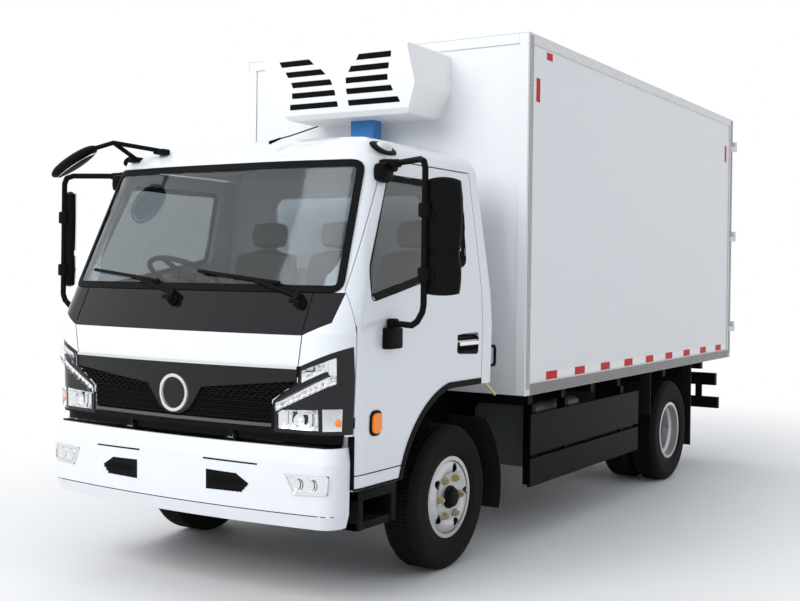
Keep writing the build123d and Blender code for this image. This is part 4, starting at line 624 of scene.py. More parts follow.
bm = bmesh.new()
add_band(bm, rounded(SCREEN, 0.06), 0.034, FRONT, CAB_FACE, stand=0.001, thickness=0.005, step=0.08)
put("windscreen_seal", bm, "cab", *SEAL)

GRILLE_PLATE = surface_of("grille")
SLAT_FIRST, SLAT_PITCH, SLAT_COUNT = 0.905, 0.027, 8
MESH_HALF, MESH_FLARE_Z, MESH_FLARE, MESH_CELL = 0.598, 1.0, 1.45, 0.022
bm = bmesh.new()
for row in range(2 * SLAT_COUNT - 1):
    z = SLAT_FIRST + SLAT_PITCH * row / 2
    reach = MESH_HALF if z < MESH_FLARE_Z else MESH_HALF + (z - MESH_FLARE_Z) * MESH_FLARE
    add_ribbon(bm, zigzag(-reach, reach, z, 2 * int(reach / MESH_CELL), 0.0045), 0.0065, 0.012, GRILLE_PLATE, 0.003,
               cast_up=SLAT_FIRST + SLAT_PITCH * (row // 2))
put("grille_mesh", bm, "cab", *PLASTIC)

WING_TOP = 1.164
HALF_WING = [(-0.746, WING_TOP), (0.0, WING_TOP), (0.0, 1.036), (-0.182, 1.044), (-0.742, 1.101)]
WING_SHIELD = [(-0.184, 1.046), (0.184, 1.046), (0.100, 0.930), (0.036, 0.900), (-0.036, 0.900), (-0.100, 0.930)]
BLANK_RING = ((-0.004, 0.074), (0.010, 0.079), (0.014, 0.087), (0.010, 0.095), (-0.004, 0.099))
bm = bmesh.new()
for _, side in SIDES:
    add_draped(bm, sided(HALF_WING, side), FRONT, GRILLE_PLATE, stand=0.0005, thickness=0.003, step=0.06)
add_draped(bm, rounded(WING_SHIELD, 0.02), FRONT, GRILLE_PLATE, stand=0.0005, step=0.06)
add_ribbon(bm, level_line(0.748, WING_TOP), 0.013, 0.012, GRILLE_PLATE, 0.009, 1)
add_ribbon(bm, level_line(0.600, 0.882), 0.016, 0.010, GRILLE_PLATE, 0.010, 2, cast_up=SLAT_FIRST)
add_turned(bm, BLANK_RING, land(GRILLE_PLATE, FRONT, 0, 1.004) - Y * 0.003, FORWARD, steps=56, material=1)
put("grille_wing", bm, "cab", [WING_GREY, CHROME, CAST_GREY], "black_gloss")

LAMP_PARTS = {
    "beam": [(0.640, 0.868), (0.640, 0.960), (0.858, 0.972), (0.858, 0.868)],
    "turn": [(0.874, 0.866), (0.874, 0.974), (0.952, 0.976), (0.948, 0.866)],
    "strip_low": [(0.624, 0.950), (0.624, 0.992), (0.903, 1.130), (0.934, 1.120), (0.934, 1.094)],
    "strip_high": [(0.903, 1.118), (0.903, 1.206), (0.934, 1.218), (0.934, 1.118)],
    "position": [(0.768, 1.092), (0.768, 1.152), (0.890, 1.200), (0.890, 1.150)],
    "join": [(0.8875, 1.150), (0.8875, 1.1985), (0.906, 1.206), (0.906, 1.150)],
}
LAMP_DEPTH, BEAM_Z = 0.022, 0.916
BEAM_BOWL = ((0.016, 0.0315), (0.008, 0.026), (0.003, 0.014), (0.002, 0.0))
BEAM_BULB = ((0.002, 0.010), (0.012, 0.010), (0.016, 0.006), (0.017, 0.0))
TURN_BULB = ((0.0, 0.020), (0.008, 0.018), (0.014, 0.011), (0.016, 0.0))
LED_DOME = ((0.0, 0.012), (0.008, 0.011), (0.013, 0.007), (0.015, 0.0))
LED_PLACES = [(0.640 + 0.278 * t / 9, 0.980 + 0.134 * t / 9) for t in range(10)]
LED_PLACES += [(0.918, 1.114 + 0.092 * t / 3) for t in range(1, 4)]
for word, side in SIDES:
    bm = bmesh.new()
    for label, part in LAMP_PARTS.items():
        add_draped(bm, sided(inset(part, 0.0015), side), FRONT, CAB_FACE, stand=0.0004, thickness=0.0016, step=0.03,
                   material=4 if label == "turn" else 0)
        add_draped(bm, sided(inset(part, 0.0006), side), FRONT, CAB_FACE, stand=LAMP_DEPTH - 0.002, thickness=0.002,
                   step=0.03, material=3)
    beam = land(CAB_FACE, FRONT, side * 0.752, BEAM_Z)
    add_turned(bm, BEAM_BOWL, beam, FORWARD, steps=32)
    add_turned(bm, BEAM_BULB, beam, FORWARD, steps=20, material=1)
    for x, rise in ((0.672, 0.0), (0.700, 0.004), (0.806, 0.004), (0.834, 0.0)):
        add_block(bm, (-0.012, -0.013 - rise, -0.040), (0.012, 0.0, 0.040), 0.006, 1,
                  about=land(CAB_FACE, FRONT, side * x, BEAM_Z))
    spot = land(CAB_FACE, FRONT, side * 0.926, 0.905)
    add_turned(bm, TURN_BULB, spot, FORWARD, steps=20, material=2)
    add_block(bm, (-0.045 * side - 0.014, -0.008, -0.028), (-0.045 * side + 0.014, 0.0, 0.060), 0.005, 1, about=spot)
    for x, z in LED_PLACES:
        add_turned(bm, LED_DOME, land(CAB_FACE, FRONT, side * x, z - 0.008), FORWARD, steps=14, material=1)
    put(f"headlamp_optics_{word}", bm, "cab", [REFLECTOR, LED_WHITE, LAMP_AMBER, LAMP_LENS, PALE_LENS], "lamp_lens")

GAP_SHADE_RUNS = ((-0.940, -0.384), (-0.306, 0.306), (0.384, 0.940))
GAP_SHADE_SECTION = ((0.030, 0.846), (0.030, 0.803), (0.036, 0.803), (0.036, 0.846))
GAP_SHADE_STEPS = 16
GRILLE_EDGE = ((0.609, 0.866), (0.609, 1.002), (0.747, 1.094), (0.754, 1.172))
TILT_EYE_X, TILT_EYE_Y, TILT_EYE_Z = 0.345, -2.9275, 0.815
bm = bmesh.new()
add_draped(bm, rect(-0.612, 0.8425, 0.612, 0.869), FRONT, CAB_FACE, thickness=0.003)
for _, side in SIDES:
    add_draped(bm, sided(rect(0.612, 0.8425, 0.955, 0.851), side), FRONT, CAB_FACE, thickness=0.003, step=0.03)
    for (x0, z0), (x1, z1) in zip(GRILLE_EDGE, GRILLE_EDGE[1:]):
        out = Vector((z1 - z0, x0 - x1)).normalized() * 0.006
        edge = [(x0 - out.x, z0 - out.y), (x0 + out.x, z0 + out.y), (x1 + out.x, z1 + out.y), (x1 - out.x, z1 - out.y)]
        add_draped(bm, sided(edge, side), FRONT, CAB_FACE, thickness=0.003)
# Black bars set back in the gap under the cab front: painted shade of that gap.
for start, end in GAP_SHADE_RUNS:
    rows = []
    for k in range(GAP_SHADE_STEPS + 1):
        x = start + (end - start) * k / GAP_SHADE_STEPS
        face = land(CAB_FACE, FRONT, x, 0.858).y
        rows.append([(x, face + back, z) for back, z in GAP_SHADE_SECTION])
    add_bar(bm, rows)
# Black covers over the tilt hinge eyes: painted shade that keeps them dark in the gap.
for _, side in SIDES:
    eye = (side * TILT_EYE_X, TILT_EYE_Y, TILT_EYE_Z)
    add_block(bm, (-0.0195, -0.0200, -0.008), (0.0195, -0.0174, 0.034), 0.001, 1, about=eye)
    for low, high in ((-0.0202, -0.02004), (0.02004, 0.0202)):
        add_block(bm, (low, -0.0174, -0.011), (high, 0.0172, 0.034), about=eye)
put("cab_valance", bm, "cab", *PLASTIC)

PIVOT_CAP = ((-0.014, 0.030), (0.004, 0.030), (0.012, 0.022), (0.030, 0.019), (0.036, 0.012), (0.038, 0.0))
bm = bmesh.new()
for place in ((-0.062, -2.930, 1.470), (0.722, -2.880, 1.466)):
    add_turned(bm, PIVOT_CAP, place, (0, -1, 0.3), steps=24)
    add_block(bm, (-0.052, -0.030, 0.004), (0.004, -0.008, 0.026), 0.006, about=place)
put("wiper_pivots", bm, "cab", *PLASTIC)

SEAM_HALF = 0.0018
bm = bmesh.new()
for _, side in SIDES:
    for (x0, z0), (x1, z1) in (((0.773, 1.320), (0.770, 1.515)), ((0.773, 1.316), (0.752, 1.176))):
        seam = [(x0 - SEAM_HALF, z0), (x0 + SEAM_HALF, z0), (x1 + SEAM_HALF, z1), (x1 - SEAM_HALF, z1)]
        add_draped(bm, sided(seam, side), FRONT, CAB_FACE, thickness=0.0012, step=0.03)
put("cab_front_seams", bm, "cab", *SEAL)


# Bumper: fog lamps, vents, lip seam and black plates behind its top that paint the shade in the gap

BUMPER = surface_of("front_bumper", "chassis_lamps")
FOG = [(0.748, 0.566), (0.698, 0.660), (0.930, 0.666), (0.924, 0.578)]
FOG_BOWL = ((0.001, 0.030), (0.006, 0.028), (0.004, 0.022), (0.0015, 0.0))
VENT = [(0.236, 0.548), (0.236, 0.645), (0.420, 0.640), (0.496, 0.596), (0.452, 0.552)]
VENT_INNER, VENT_TIP, VENT_TIP_Z = 0.240, 0.496, 0.596
SLOT_LINE = [(0.217, 0.694), (0.217, 0.702), (0.545, 0.698), (0.545, 0.691)]
for word, side in SIDES:
    bm = bmesh.new()
    fog = sided(rounded(FOG, 0.014), side)
    add_band(bm, fog, 0.010, FRONT, BUMPER, thickness=0.007, step=0.03, material=1)
    add_draped(bm, fog, FRONT, BUMPER, stand=-0.001, thickness=0.002, step=0.03)
    for x in (0.775, 0.850):
        add_turned(bm, FOG_BOWL, land(BUMPER, FRONT, side * x, 0.618), FORWARD, steps=32)
    add_draped(bm, sided(inset(FOG, 0.008), side), FRONT, BUMPER, stand=0.005, thickness=0.002, step=0.03, material=2)
    put(f"fog_lamp_{word}", bm, "chassis", [REFLECTOR, CHROME, LAMP_LENS], "lamp_lens")
    bm = bmesh.new()
    add_draped(bm, sided(VENT, side), FRONT, BUMPER, thickness=0.0015, step=0.06)
    for row in range(6):
        z = 0.557 + 0.0155 * row
        tip = 0.45 + min(0.046, z - 0.552) if z < VENT_TIP_Z else VENT_TIP - (z - VENT_TIP_Z) * 1.7
        line = zigzag(VENT_INNER, tip, z, 2 * int((tip - VENT_INNER) / MESH_CELL), 0.004)
        add_ribbon(bm, [(side * x, height) for x, height in line], 0.0055, 0.006, BUMPER, 0.0065)
    add_draped(bm, sided(SLOT_LINE, side), FRONT, BUMPER, thickness=0.0015, step=0.06)
    put(f"bumper_vent_{word}", bm, "chassis", *PLASTIC)
bm = bmesh.new()
add_draped(bm, rect(-0.945, 0.472, 0.945, 0.476), FRONT, BUMPER, thickness=0.001, step=0.04)
put("bumper_lip_seam", bm, "chassis", *SEAL)
# Black plates behind the bumper's top: painted shade in the gap between bumper and cab.
bm = bmesh.new()
for low, high in ((-0.900, -0.385), (-0.305, 0.305), (0.385, 0.900)):
    add_block(bm, (low, -2.902, 0.700), (high, -2.896, 0.797), 0.002, 1)
put("bumper_back_plate", bm, "chassis", [FRAME_BLACK], "frame_black")


# Doors: window seal, handle, side marker, sill and arch edges, a black strip of painted shade in the front gap, and
# covers over the hinges

def along(points):
    """Side-view points from places given back from the front axle."""
    return [(FRONT_AXLE_Y + back, z) for back, z in points]


def arc(start, through, end, steps):
    """Points on the round stretch through three places."""
    (ax, ay), (bx, by), (cx, cy) = start, through, end
    d = 2 * (ax * (by - cy) + bx * (cy - ay) + cx * (ay - by))
    a2, b2, c2 = ax * ax + ay * ay, bx * bx + by * by, cx * cx + cy * cy
    middle = Vector(((a2 * (by - cy) + b2 * (cy - ay) + c2 * (ay - by)) / d,
                     (a2 * (cx - bx) + b2 * (ax - cx) + c2 * (bx - ax)) / d))
    first, last = Vector(start) - middle, Vector(end) - middle
    sweep = first.angle_signed(last)
    return [(middle + Matrix.Rotation(-sweep * k / steps, 2) @ first).to_tuple() for k in range(steps + 1)]


DOOR_REAR, DOOR_FRONT, DOOR_BOTTOM = 0.250, -0.955, 0.578
WINDOW = along([(-0.848, 1.472), (0.106, 1.666), (0.142, 2.118), (-0.604, 2.118), (-0.834, 1.640)])
RECESS = along([(-0.030, 1.184), (0.206, 1.172), (0.206, 1.296), (-0.010, 1.290)])
MARKER = along([(-0.848, 0.828), (-0.752, 0.828), (-0.752, 0.952), (-0.848, 0.952)])
SILL_SEAM = along(rect(-0.952, 0.648, -0.520, 0.653))
SILL_EDGE = along(rect(DOOR_FRONT + 0.004, DOOR_BOTTOM + 0.001, -0.540, DOOR_BOTTOM + 0.012))
ARCH_CORNERS = ((-0.545, 0.578), (-0.400, 0.836), (-0.100, 1.000))
ARCH = along([*arc(*ARCH_CORNERS, 14), (DOOR_REAR - 0.004, 1.000)])
ARCH_LIP, ARCH_INNER_X, ARCH_OUTER_X = 0.034, 0.925, 0.988
HINGE_LEVELS = (0.905, 1.338)
HINGE_COVER = rect(DOOR_FRONT + 0.060, 0.032, DOOR_FRONT + 0.002, -0.032)
for word, side in SIDES:
    view = FROM_SIDE[side]
    body = f"door_{word}"
    door = surface_of(f"door_{word}", f"door_glass_{word}")
    bm = bmesh.new()
    add_band(bm, rounded(WINDOW, 0.05), 0.032, view, door, stand=0.001, step=0.08)
    put(f"door_window_seal_{word}", bm, body, *SEAL)
    bm = bmesh.new()
    add_draped(bm, rounded(RECESS, 0.03), view, door, thickness=0.003, step=0.02)
    outer = land(door, view, FRONT_AXLE_Y + 0.090, 1.150).x
    add_block(bm, (outer - side * 0.006, FRONT_AXLE_Y - 0.006, 1.224),
              (outer + side * 0.012, FRONT_AXLE_Y + 0.200, 1.250), 0.007, 3, material=1)
    put(f"door_handle_{word}", bm, body, [GRAINED_BLACK, CHROME], "black_plastic")
    bm = bmesh.new()
    add_draped(bm, rounded(MARKER, 0.042, 6), view, door, thickness=0.007, step=0.03)
    add_draped(bm, rounded(inset(MARKER, 0.013), 0.034, 6), view, door, stand=0.006, thickness=0.012, step=0.02,
               material=1)
    put(f"side_marker_{word}", bm, body, [GRAINED_BLACK, LAMP_AMBER], "lamp_lens")
    bm = bmesh.new()
    add_draped(bm, SILL_SEAM, view, door, thickness=0.0012)
    add_draped(bm, SILL_EDGE, view, door, thickness=0.002)
    for (y0, z0), (y1, z1) in zip(ARCH, ARCH[1:]):
        out = Vector((z0 - z1, y1 - y0)).normalized()
        near, far = out * 0.0015, out * ARCH_LIP
        add_draped(bm, [(y0 + near.x, z0 + near.y), (y1 + near.x, z1 + near.y), (y1 + far.x, z1 + far.y),
                        (y0 + far.x, z0 + far.y)], view, door, thickness=0.006)
        under = [(y - out.x * 0.002, z - out.y * 0.002) for y, z in ((y0, z0), (y1, z1))]
        corners = [(side * ARCH_INNER_X, *place) for place in under] + [(side * ARCH_OUTER_X, *place) for place in under[::-1]]
        bm.faces.new([bm.verts.new(corner) for corner in corners])
    # Black strip in the gap at the door's front edge: painted shade of the gap, hiding the hinges.
    add_block(bm, (side * 0.944, FRONT_AXLE_Y + DOOR_FRONT - 0.0012, DOOR_BOTTOM + 0.006),
              (side * 0.982, FRONT_AXLE_Y + DOOR_FRONT + 0.0004, 0.842))
    put(f"door_edges_and_gap_shade_{word}", bm, body, *PLASTIC)
    bm = bmesh.new()
    for level in HINGE_LEVELS:
        inner = [land(door, view, FRONT_AXLE_Y + back, level + rise) + view.toward * 0.0002 for back, rise in HINGE_COVER]
        add_bar(bm, [inner, [corner - view.toward * 0.0016 for corner in inner]])
    put(f"hinge_covers_{word}", bm, body, [CAB_WHITE], "cab_paint")


# Mirrors: bent tube, clamps and two rounded heads a side, and the kerb mirror on the roof

MirrorHead = namedtuple("MirrorHead", "z half_width half_height")
MIRROR_HEADS = (MirrorHead(1.897, 0.100, 0.183), MirrorHead(1.612, 0.098, 0.098))
MIRROR_TUBE = ((0.900, -2.440, 2.160), (1.020, -2.480, 2.168), (1.205, -2.590, 2.166), (1.238, -2.610, 2.153),
               (1.250, -2.616, 2.120), (1.250, -2.616, 1.470), (1.240, -2.610, 1.435), (1.200, -2.592, 1.388),
               (1.160, -2.576, 1.368), (1.030, -2.530, 1.372))
MIRROR_FEET = (((0.985, -2.590, 1.246), (1.046, -2.470, 1.352), 0.012),
               ((1.000, -2.560, 1.345), (1.044, -2.505, 1.396), 0.010),
               ((0.880, -2.480, 2.128), (0.968, -2.412, 2.190), 0.014),
               ((0.955, -2.492, 2.146), (1.010, -2.446, 2.186), 0.010))
MIRROR_TOE = {1: 14.0, -1: 37.0}
HEAD_OUT, HEAD_RIM, BRIDGE_Z = 0.075, 0.014, 1.712
CLAMP = ((-0.034, 0.0), (-0.034, 0.026), (-0.028, 0.031), (0.028, 0.031), (0.034, 0.026), (0.034, 0.0))
CLAMP_LEVELS = (1.920, 1.614)
POLE_X, POLE_Y, _ = MIRROR_TUBE[4]


def on_pole(side, z):
    """Place on a mirror's pole, turned as the heads of that side are."""
    return Matrix.Translation((POLE_X, POLE_Y, z)) @ Matrix.Rotation(radians(MIRROR_TOE[side]), 4, "Z")


for word, side in SIDES:
    bm = bmesh.new()
    add_tube(bm, MIRROR_TUBE, 0.0155, sides=14)
    for level in CLAMP_LEVELS:
        add_turned(bm, CLAMP, (POLE_X, POLE_Y, level), Z, steps=24)
    for z, wide, tall in MIRROR_HEADS:
        swing = on_pole(side, z)
        add_cushion(bm, (HEAD_OUT - wide, 0.008, -tall), (HEAD_OUT + wide, 0.066, tall), swing, 0.34, seam_depth=0.0)
        add_block(bm, (HEAD_OUT - wide + HEAD_RIM, 0.060, HEAD_RIM - tall),
                  (HEAD_OUT + wide - HEAD_RIM, 0.0675, tall - HEAD_RIM), 0.002, 1, material=1, turn=swing)
        add_block(bm, (-0.012, 0.0, -0.022), (0.050, 0.020, 0.022), 0.006, turn=swing)
    add_block(bm, (-0.012, 0.016, -0.030), (0.162, 0.058, 0.030), 0.008, turn=on_pole(side, BRIDGE_Z))
    for low, high, bevel in MIRROR_FEET:
        add_block(bm, low, high, bevel)
    add_cushion(bm, (0.884, -2.536, 2.070), (0.958, -2.430, 2.172), puff=0.6, seam_depth=0.0)
    to_side(bm, side)
    put(f"mirror_set_{word}", bm, f"door_{word}", [GRAINED_BLACK, MIRROR_FACE], "black_plastic", [f"mirror_{word}"])

KERB_HEAD = Vector((-0.878, -2.850, 2.196))
KERB_LENGTH = Vector((0.80, 0.22, 0.50)).normalized()
KERB_APEX = Vector((-0.690, -2.760, 2.318))
KERB_FEET = (Vector((-0.530, -2.556, 2.286)), Vector((-0.716, -2.566, 2.246)))
KERB_ROD = 0.0125
KERB_GLASS = ((0.0, 0.0), (0.006, 0.5), (0.0, 1.0), (-0.030, 1.02))
facing = Vector((0.45, 0.35, -0.82))
facing = (facing - KERB_LENGTH * facing.dot(KERB_LENGTH)).normalized()
pose = Matrix((KERB_LENGTH, facing.cross(KERB_LENGTH), facing)).transposed().to_4x4()
pose.translation = KERB_HEAD
bm = bmesh.new()
add_cushion(bm, (-0.155, -0.090, -0.058), (0.155, 0.090, 0.018), pose, 0.92, cuts=13, seam_depth=0.0)
glass = bmesh.new()
add_turned(glass, KERB_GLASS, (0, 0, 0), Z, steps=40, material=1)
bmesh.ops.transform(glass, matrix=pose @ Matrix.Translation((0, 0, 0.006)) @ Matrix.Diagonal((0.128, 0.072, 1.0, 1)),
                    verts=glass.verts[:])
absorb(bm, glass)
for foot in KERB_FEET:
    add_tube(bm, [foot, KERB_APEX], KERB_ROD, sides=14)
    add_block(bm, (-0.040, -0.030, -0.020), (0.040, 0.030, 0.010), 0.009, about=foot)
add_tube(bm, [KERB_APEX, KERB_HEAD + KERB_LENGTH * 0.118 - facing * 0.024], KERB_ROD, sides=14)
put("kerb_mirror_set", bm, "cab", [GRAINED_BLACK, MIRROR_FACE], "black_plastic", ["kerb_mirror"])


# Cab fittings: roof lamps, antenna, grab loops, tilt lever and the steps under the doors

bm = bmesh.new()
for _, side in SIDES:
    tilt = Matrix.Translation((side * 0.868, -2.410, 2.254)) @ Matrix.Rotation(radians(side * 42), 4, "Y")
    add_cushion(bm, (-0.052, -0.104, -0.016), (0.052, 0.104, 0.012), tilt, 0.85, cuts=11, seam_depth=0.0)
    made = bmesh.ops.create_uvsphere(bm, u_segments=24, v_segments=12, radius=1.0,
                                     matrix=tilt @ Matrix.Diagonal((0.036, 0.062, 0.034, 1)))["verts"]
    paint(made, 1)
put("roof_lamps", bm, "cab", [GRAINED_BLACK, PALE_LENS], "lamp_lens")
bm = bmesh.new()
add_tube(bm, [(0.29, -2.60, 2.296), (0.36, -2.52, 2.330), (0.44, -2.40, 2.388)], 0.0035)
add_rod(bm, (0.285, -2.606, 2.286), (0.325, -2.56, 2.314), 0.009, 0.005)
put("antenna", bm, "cab", *PLASTIC)

CAB_REAR_EDGE = FRONT_AXLE_Y + 0.335
GRAB_LOOP = ((0.972, 0.0, 1.092), (0.974, 0.104, 1.094), (0.974, 0.114, 1.106), (0.974, 0.114, 1.192),
             (0.974, 0.104, 1.204), (0.972, 0.0, 1.204))
bm = bmesh.new()
for _, side in SIDES:
    add_tube(bm, [(side * x, CAB_REAR_EDGE + back, z) for x, back, z in GRAB_LOOP], 0.009)
put("grab_loops", bm, "cab", *PLASTIC)
bm = bmesh.new()
add_rod(bm, (0.880, CAB_REAR_EDGE - 0.02, 1.020), (0.912, CAB_REAR_EDGE + 0.100, 1.000), 0.009, sides=12)
add_rod(bm, (0.910, CAB_REAR_EDGE + 0.092, 1.003), (0.945, CAB_REAR_EDGE + 0.180, 0.912), 0.010, 0.008, sides=12)
put("tilt_lever", bm, "cab", [LEVER_YELLOW], "black_plastic")

STEP_FRONT, STEP_REAR, STEP_LOW, STEP_TOP = FRONT_AXLE_Y - 0.888, FRONT_AXLE_Y - 0.560, 0.372, 0.568
STEP_BLOCKS = [
    ((0.700, STEP_FRONT, STEP_LOW), (0.955, STEP_REAR, STEP_LOW + 0.040)),
    ((0.790, STEP_FRONT, STEP_TOP - 0.052), (0.962, STEP_REAR, STEP_TOP)),
    ((0.700, STEP_FRONT, STEP_LOW), (0.960, STEP_FRONT + 0.044, STEP_TOP)),
    ((0.700, STEP_REAR - 0.044, STEP_LOW), (0.960, STEP_REAR, STEP_TOP)),
    ((0.690, STEP_FRONT, STEP_LOW), (0.706, STEP_REAR, STEP_TOP)),
    *[((x, STEP_FRONT + 0.050, STEP_LOW + 0.038), (x + 0.012, STEP_REAR - 0.050, STEP_LOW + 0.046))
      for x in (0.760, 0.790, 0.820, 0.850, 0.880, 0.910)],
]
for word, side in SIDES:
    bm = bmesh.new()
    for low, high in STEP_BLOCKS:
        add_block(bm, low, high, 0.004)
    to_side(bm, side)
    put(f"cab_step_{word}", bm, "cab", *PLASTIC)


# Cabin: padded seats on plinths and dashboard fittings

Seat = namedtuple("Seat", "x half")
SEATS = (Seat(-0.550, 0.240), Seat(0.0, 0.200), Seat(0.550, 0.240))
SEAT_BASE = 1.030
for number, (x, half) in enumerate(SEATS):
    bm = bmesh.new()
    add_cushion(bm, (x - half, FRONT_AXLE_Y - 0.320, SEAT_BASE + 0.060), (x + half, FRONT_AXLE_Y + 0.150, SEAT_BASE + 0.235))
    lean = Matrix.Translation((x, FRONT_AXLE_Y + 0.155, SEAT_BASE + 0.200)) @ Matrix.Rotation(radians(-9), 4, "X")
    add_cushion(bm, (-half, -0.075, -0.03), (half, 0.055, 0.530), lean)
    add_cushion(bm, (-0.135, -0.055, 0.540), (0.135, 0.040, 0.710), lean, 0.6)
    seat = put(f"seat_{number + 1}", bm, "cab", [SEAT_CLOTH], "seat_cover", ["seats"] if number == 0 else ())
bm = bmesh.new()
for x, half in SEATS:
    add_block(bm, (x - half + 0.03, FRONT_AXLE_Y - 0.280, SEAT_BASE - 0.002),
              (x + half - 0.03, FRONT_AXLE_Y + 0.210, SEAT_BASE + 0.075), 0.012)
put("seat_plinths", bm, "cab", [CABIN_GREY], "cabin_trim")

bm = bmesh.new()
hood_z = land(surface_of("dashboard"), FROM_TOP, -0.55, FRONT_AXLE_Y - 0.80).z
add_block(bm, (-0.74, FRONT_AXLE_Y - 0.905, hood_z - 0.03), (-0.36, FRONT_AXLE_Y - 0.735, hood_z + 0.055), 0.03, 3)
add_block(bm, (-0.18, FRONT_AXLE_Y - 0.700, 1.235), (0.18, FRONT_AXLE_Y - 0.655, 1.425), 0.012)
for x in (-0.80, -0.24, 0.24, 0.80):
    add_block(bm, (x - 0.05, FRONT_AXLE_Y - 0.700, 1.375), (x + 0.05, FRONT_AXLE_Y - 0.652, 1.432), 0.008, material=1)
put("dashboard_fittings", bm, "cab", [CABIN_GREY, GRAINED_BLACK], "cabin_trim")


# Box: tape, ribs, guard backing, front trim, load floor, tail lamps and the rear doors' lock bars

RAILS_LOW, RAILS_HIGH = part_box("box_rails")
BOX_FRONT_Y, BOX_REAR_Y, RAIL_LOW, TRIM_TOP = RAILS_LOW[1], RAILS_HIGH[1], RAILS_LOW[2], RAILS_HIGH[2]
RAIL_SIDE, RAIL_TOP, DOOR_FACE_Y = 1.080, 0.968, 2.9575
BOX_SKIN = surface_of("box_sides", "box_rails")
TAPE_START, TAPE_PITCH, TAPE_RED_LENGTH, TAPE_COUNT, TAPE_END = FRONT_AXLE_Y + 0.936, 0.430, 0.160, 9, 2.86
TAPE_THICKNESS, TAPE_GAP = 0.0012, 0.001
CornerTape = namedtuple("CornerTape", "y length low high material")
CORNER_TAPES = (CornerTape(FRONT_AXLE_Y + 0.750, 0.050, 2.664, 2.808, 0),
                CornerTape(FRONT_AXLE_Y + 0.890, 0.080, 2.940, 2.985, 0),
                CornerTape(FRONT_AXLE_Y + 0.970, 0.080, 2.940, 2.985, 1), CornerTape(2.74, 0.050, 2.664, 2.808, 0))


def add_tape(bm, side, y, z, low, high, material):
    """Stripe between two corners of the side view, stuck on the skin that is found at (y, z)."""
    face = land(BOX_SKIN, FROM_SIDE[side], y, z).x
    add_block(bm, (face, *low), (face + side * TAPE_THICKNESS, *high), material=material)


bm = bmesh.new()
for _, side in SIDES:
    for number in range(TAPE_COUNT):
        red = TAPE_START + number * TAPE_PITCH
        for y, length, material in ((red, TAPE_RED_LENGTH, 0), (red + TAPE_RED_LENGTH, TAPE_PITCH - TAPE_RED_LENGTH, 1)):
            add_tape(bm, side, y + length / 2, 1.000, (y + TAPE_GAP, 0.976),
                     (min(y + length, TAPE_END) - TAPE_GAP, 1.026), material)
    for y, length, low, high, material in CORNER_TAPES:
        add_tape(bm, side, y + length / 2, (low + high) / 2, (y, low), (y + length, high), material)
put("marking_tape", bm, "chassis", [TAPE_RED, TAPE_WHITE], "rear_lamp")

bm = bmesh.new()
rails = surface_of("box_rails")
for _, side in SIDES:
    face = land(rails, FROM_SIDE[side], 0.5, 0.935).x
    inner = face - side * 0.001
    add_block(bm, (inner, BOX_FRONT_Y + 0.064, RAIL_LOW + 0.001), (face + side * 0.0015, BOX_REAR_Y - 0.105, RAIL_TOP),
              0.0008, 1)
    for z in (0.908, 0.924, 0.940, 0.956):
        add_block(bm, (inner, BOX_FRONT_Y + 0.066, z - 0.003), (face + side * 0.003, BOX_REAR_Y - 0.05, z + 0.003),
                  0.001, 1)
put("rail_ribs", bm, "chassis", [RAIL_GREY], "edge_trim")

bm = bmesh.new()
for _, side in SIDES:
    for start, step in ((BOX_FRONT_Y + 0.006, 1), (DOOR_FACE_Y - 0.006, -1)):
        for k in range(3):
            y = start + step * (0.010 + 0.018 * k)
            add_block(bm, (side * RAIL_SIDE, y - 0.003, 0.935), (side * (RAIL_SIDE + 0.003), y + 0.003, 3.050), 0.001, 1)
put("post_ribs", bm, "chassis", [POST_ALUMINIUM], "edge_trim")

bm = bmesh.new()
guard_low, guard_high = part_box("side_guards")
for _, side in SIDES:
    add_block(bm, (side * 1.000, guard_low[1] + 0.030, 0.468), (side * 1.006, guard_high[1] - 0.030, 0.548), 0.001, 1)
put("guard_backing", bm, "chassis", [GUARD_BLACK], "guard_black")

bm = bmesh.new()
for _, side in SIDES:
    for inner, outer, low in ((RAIL_SIDE - 0.066, RAIL_SIDE - 0.006, RAIL_LOW + 0.002),
                              (0.0, RAIL_SIDE - 0.067, TRIM_TOP - 0.063)):
        add_block(bm, (side * inner, BOX_FRONT_Y - 0.0015, low), (side * outer, BOX_FRONT_Y + 0.0005, TRIM_TOP - 0.004),
                  0.0008, 1)
put("box_front_trim", bm, "chassis", [BOX_WHITE], "box_skin")

FLOOR_RIBS = 24
bm = bmesh.new()
(left, front, _), (right, rear, top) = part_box("box_floor")
add_block(bm, (left + 0.003, front + 0.003, top + 0.0005), (right - 0.003, rear - 0.003, top + 0.003), 0.001, 1)
for k in range(FLOOR_RIBS):
    x = (left + 0.03) + (right - left - 0.06) * k / (FLOOR_RIBS - 1)
    add_block(bm, (x - 0.006, front + 0.01, top + 0.002), (x + 0.006, rear - 0.01, top + 0.007), 0.002, 1)
put("load_floor", bm, "chassis", [ALUMINIUM], "edge_trim")

bm = bmesh.new()
tail = surface_of("chassis_lamps")
for _, side in SIDES:
    for x0, x1, material in ((0.690, 0.780, 1), (0.785, 0.875, 0), (0.880, 0.970, 2)):
        face = land(tail, REAR, side * (x0 + x1) / 2, 0.695).y
        add_block(bm, (side * x0, face - 0.004, 0.650), (side * x1, face + 0.012, 0.740), 0.006, material=material)
put("tail_lamp_lenses", bm, "chassis", [LAMP_RED, LAMP_AMBER, PALE_LENS], "rear_lamp")

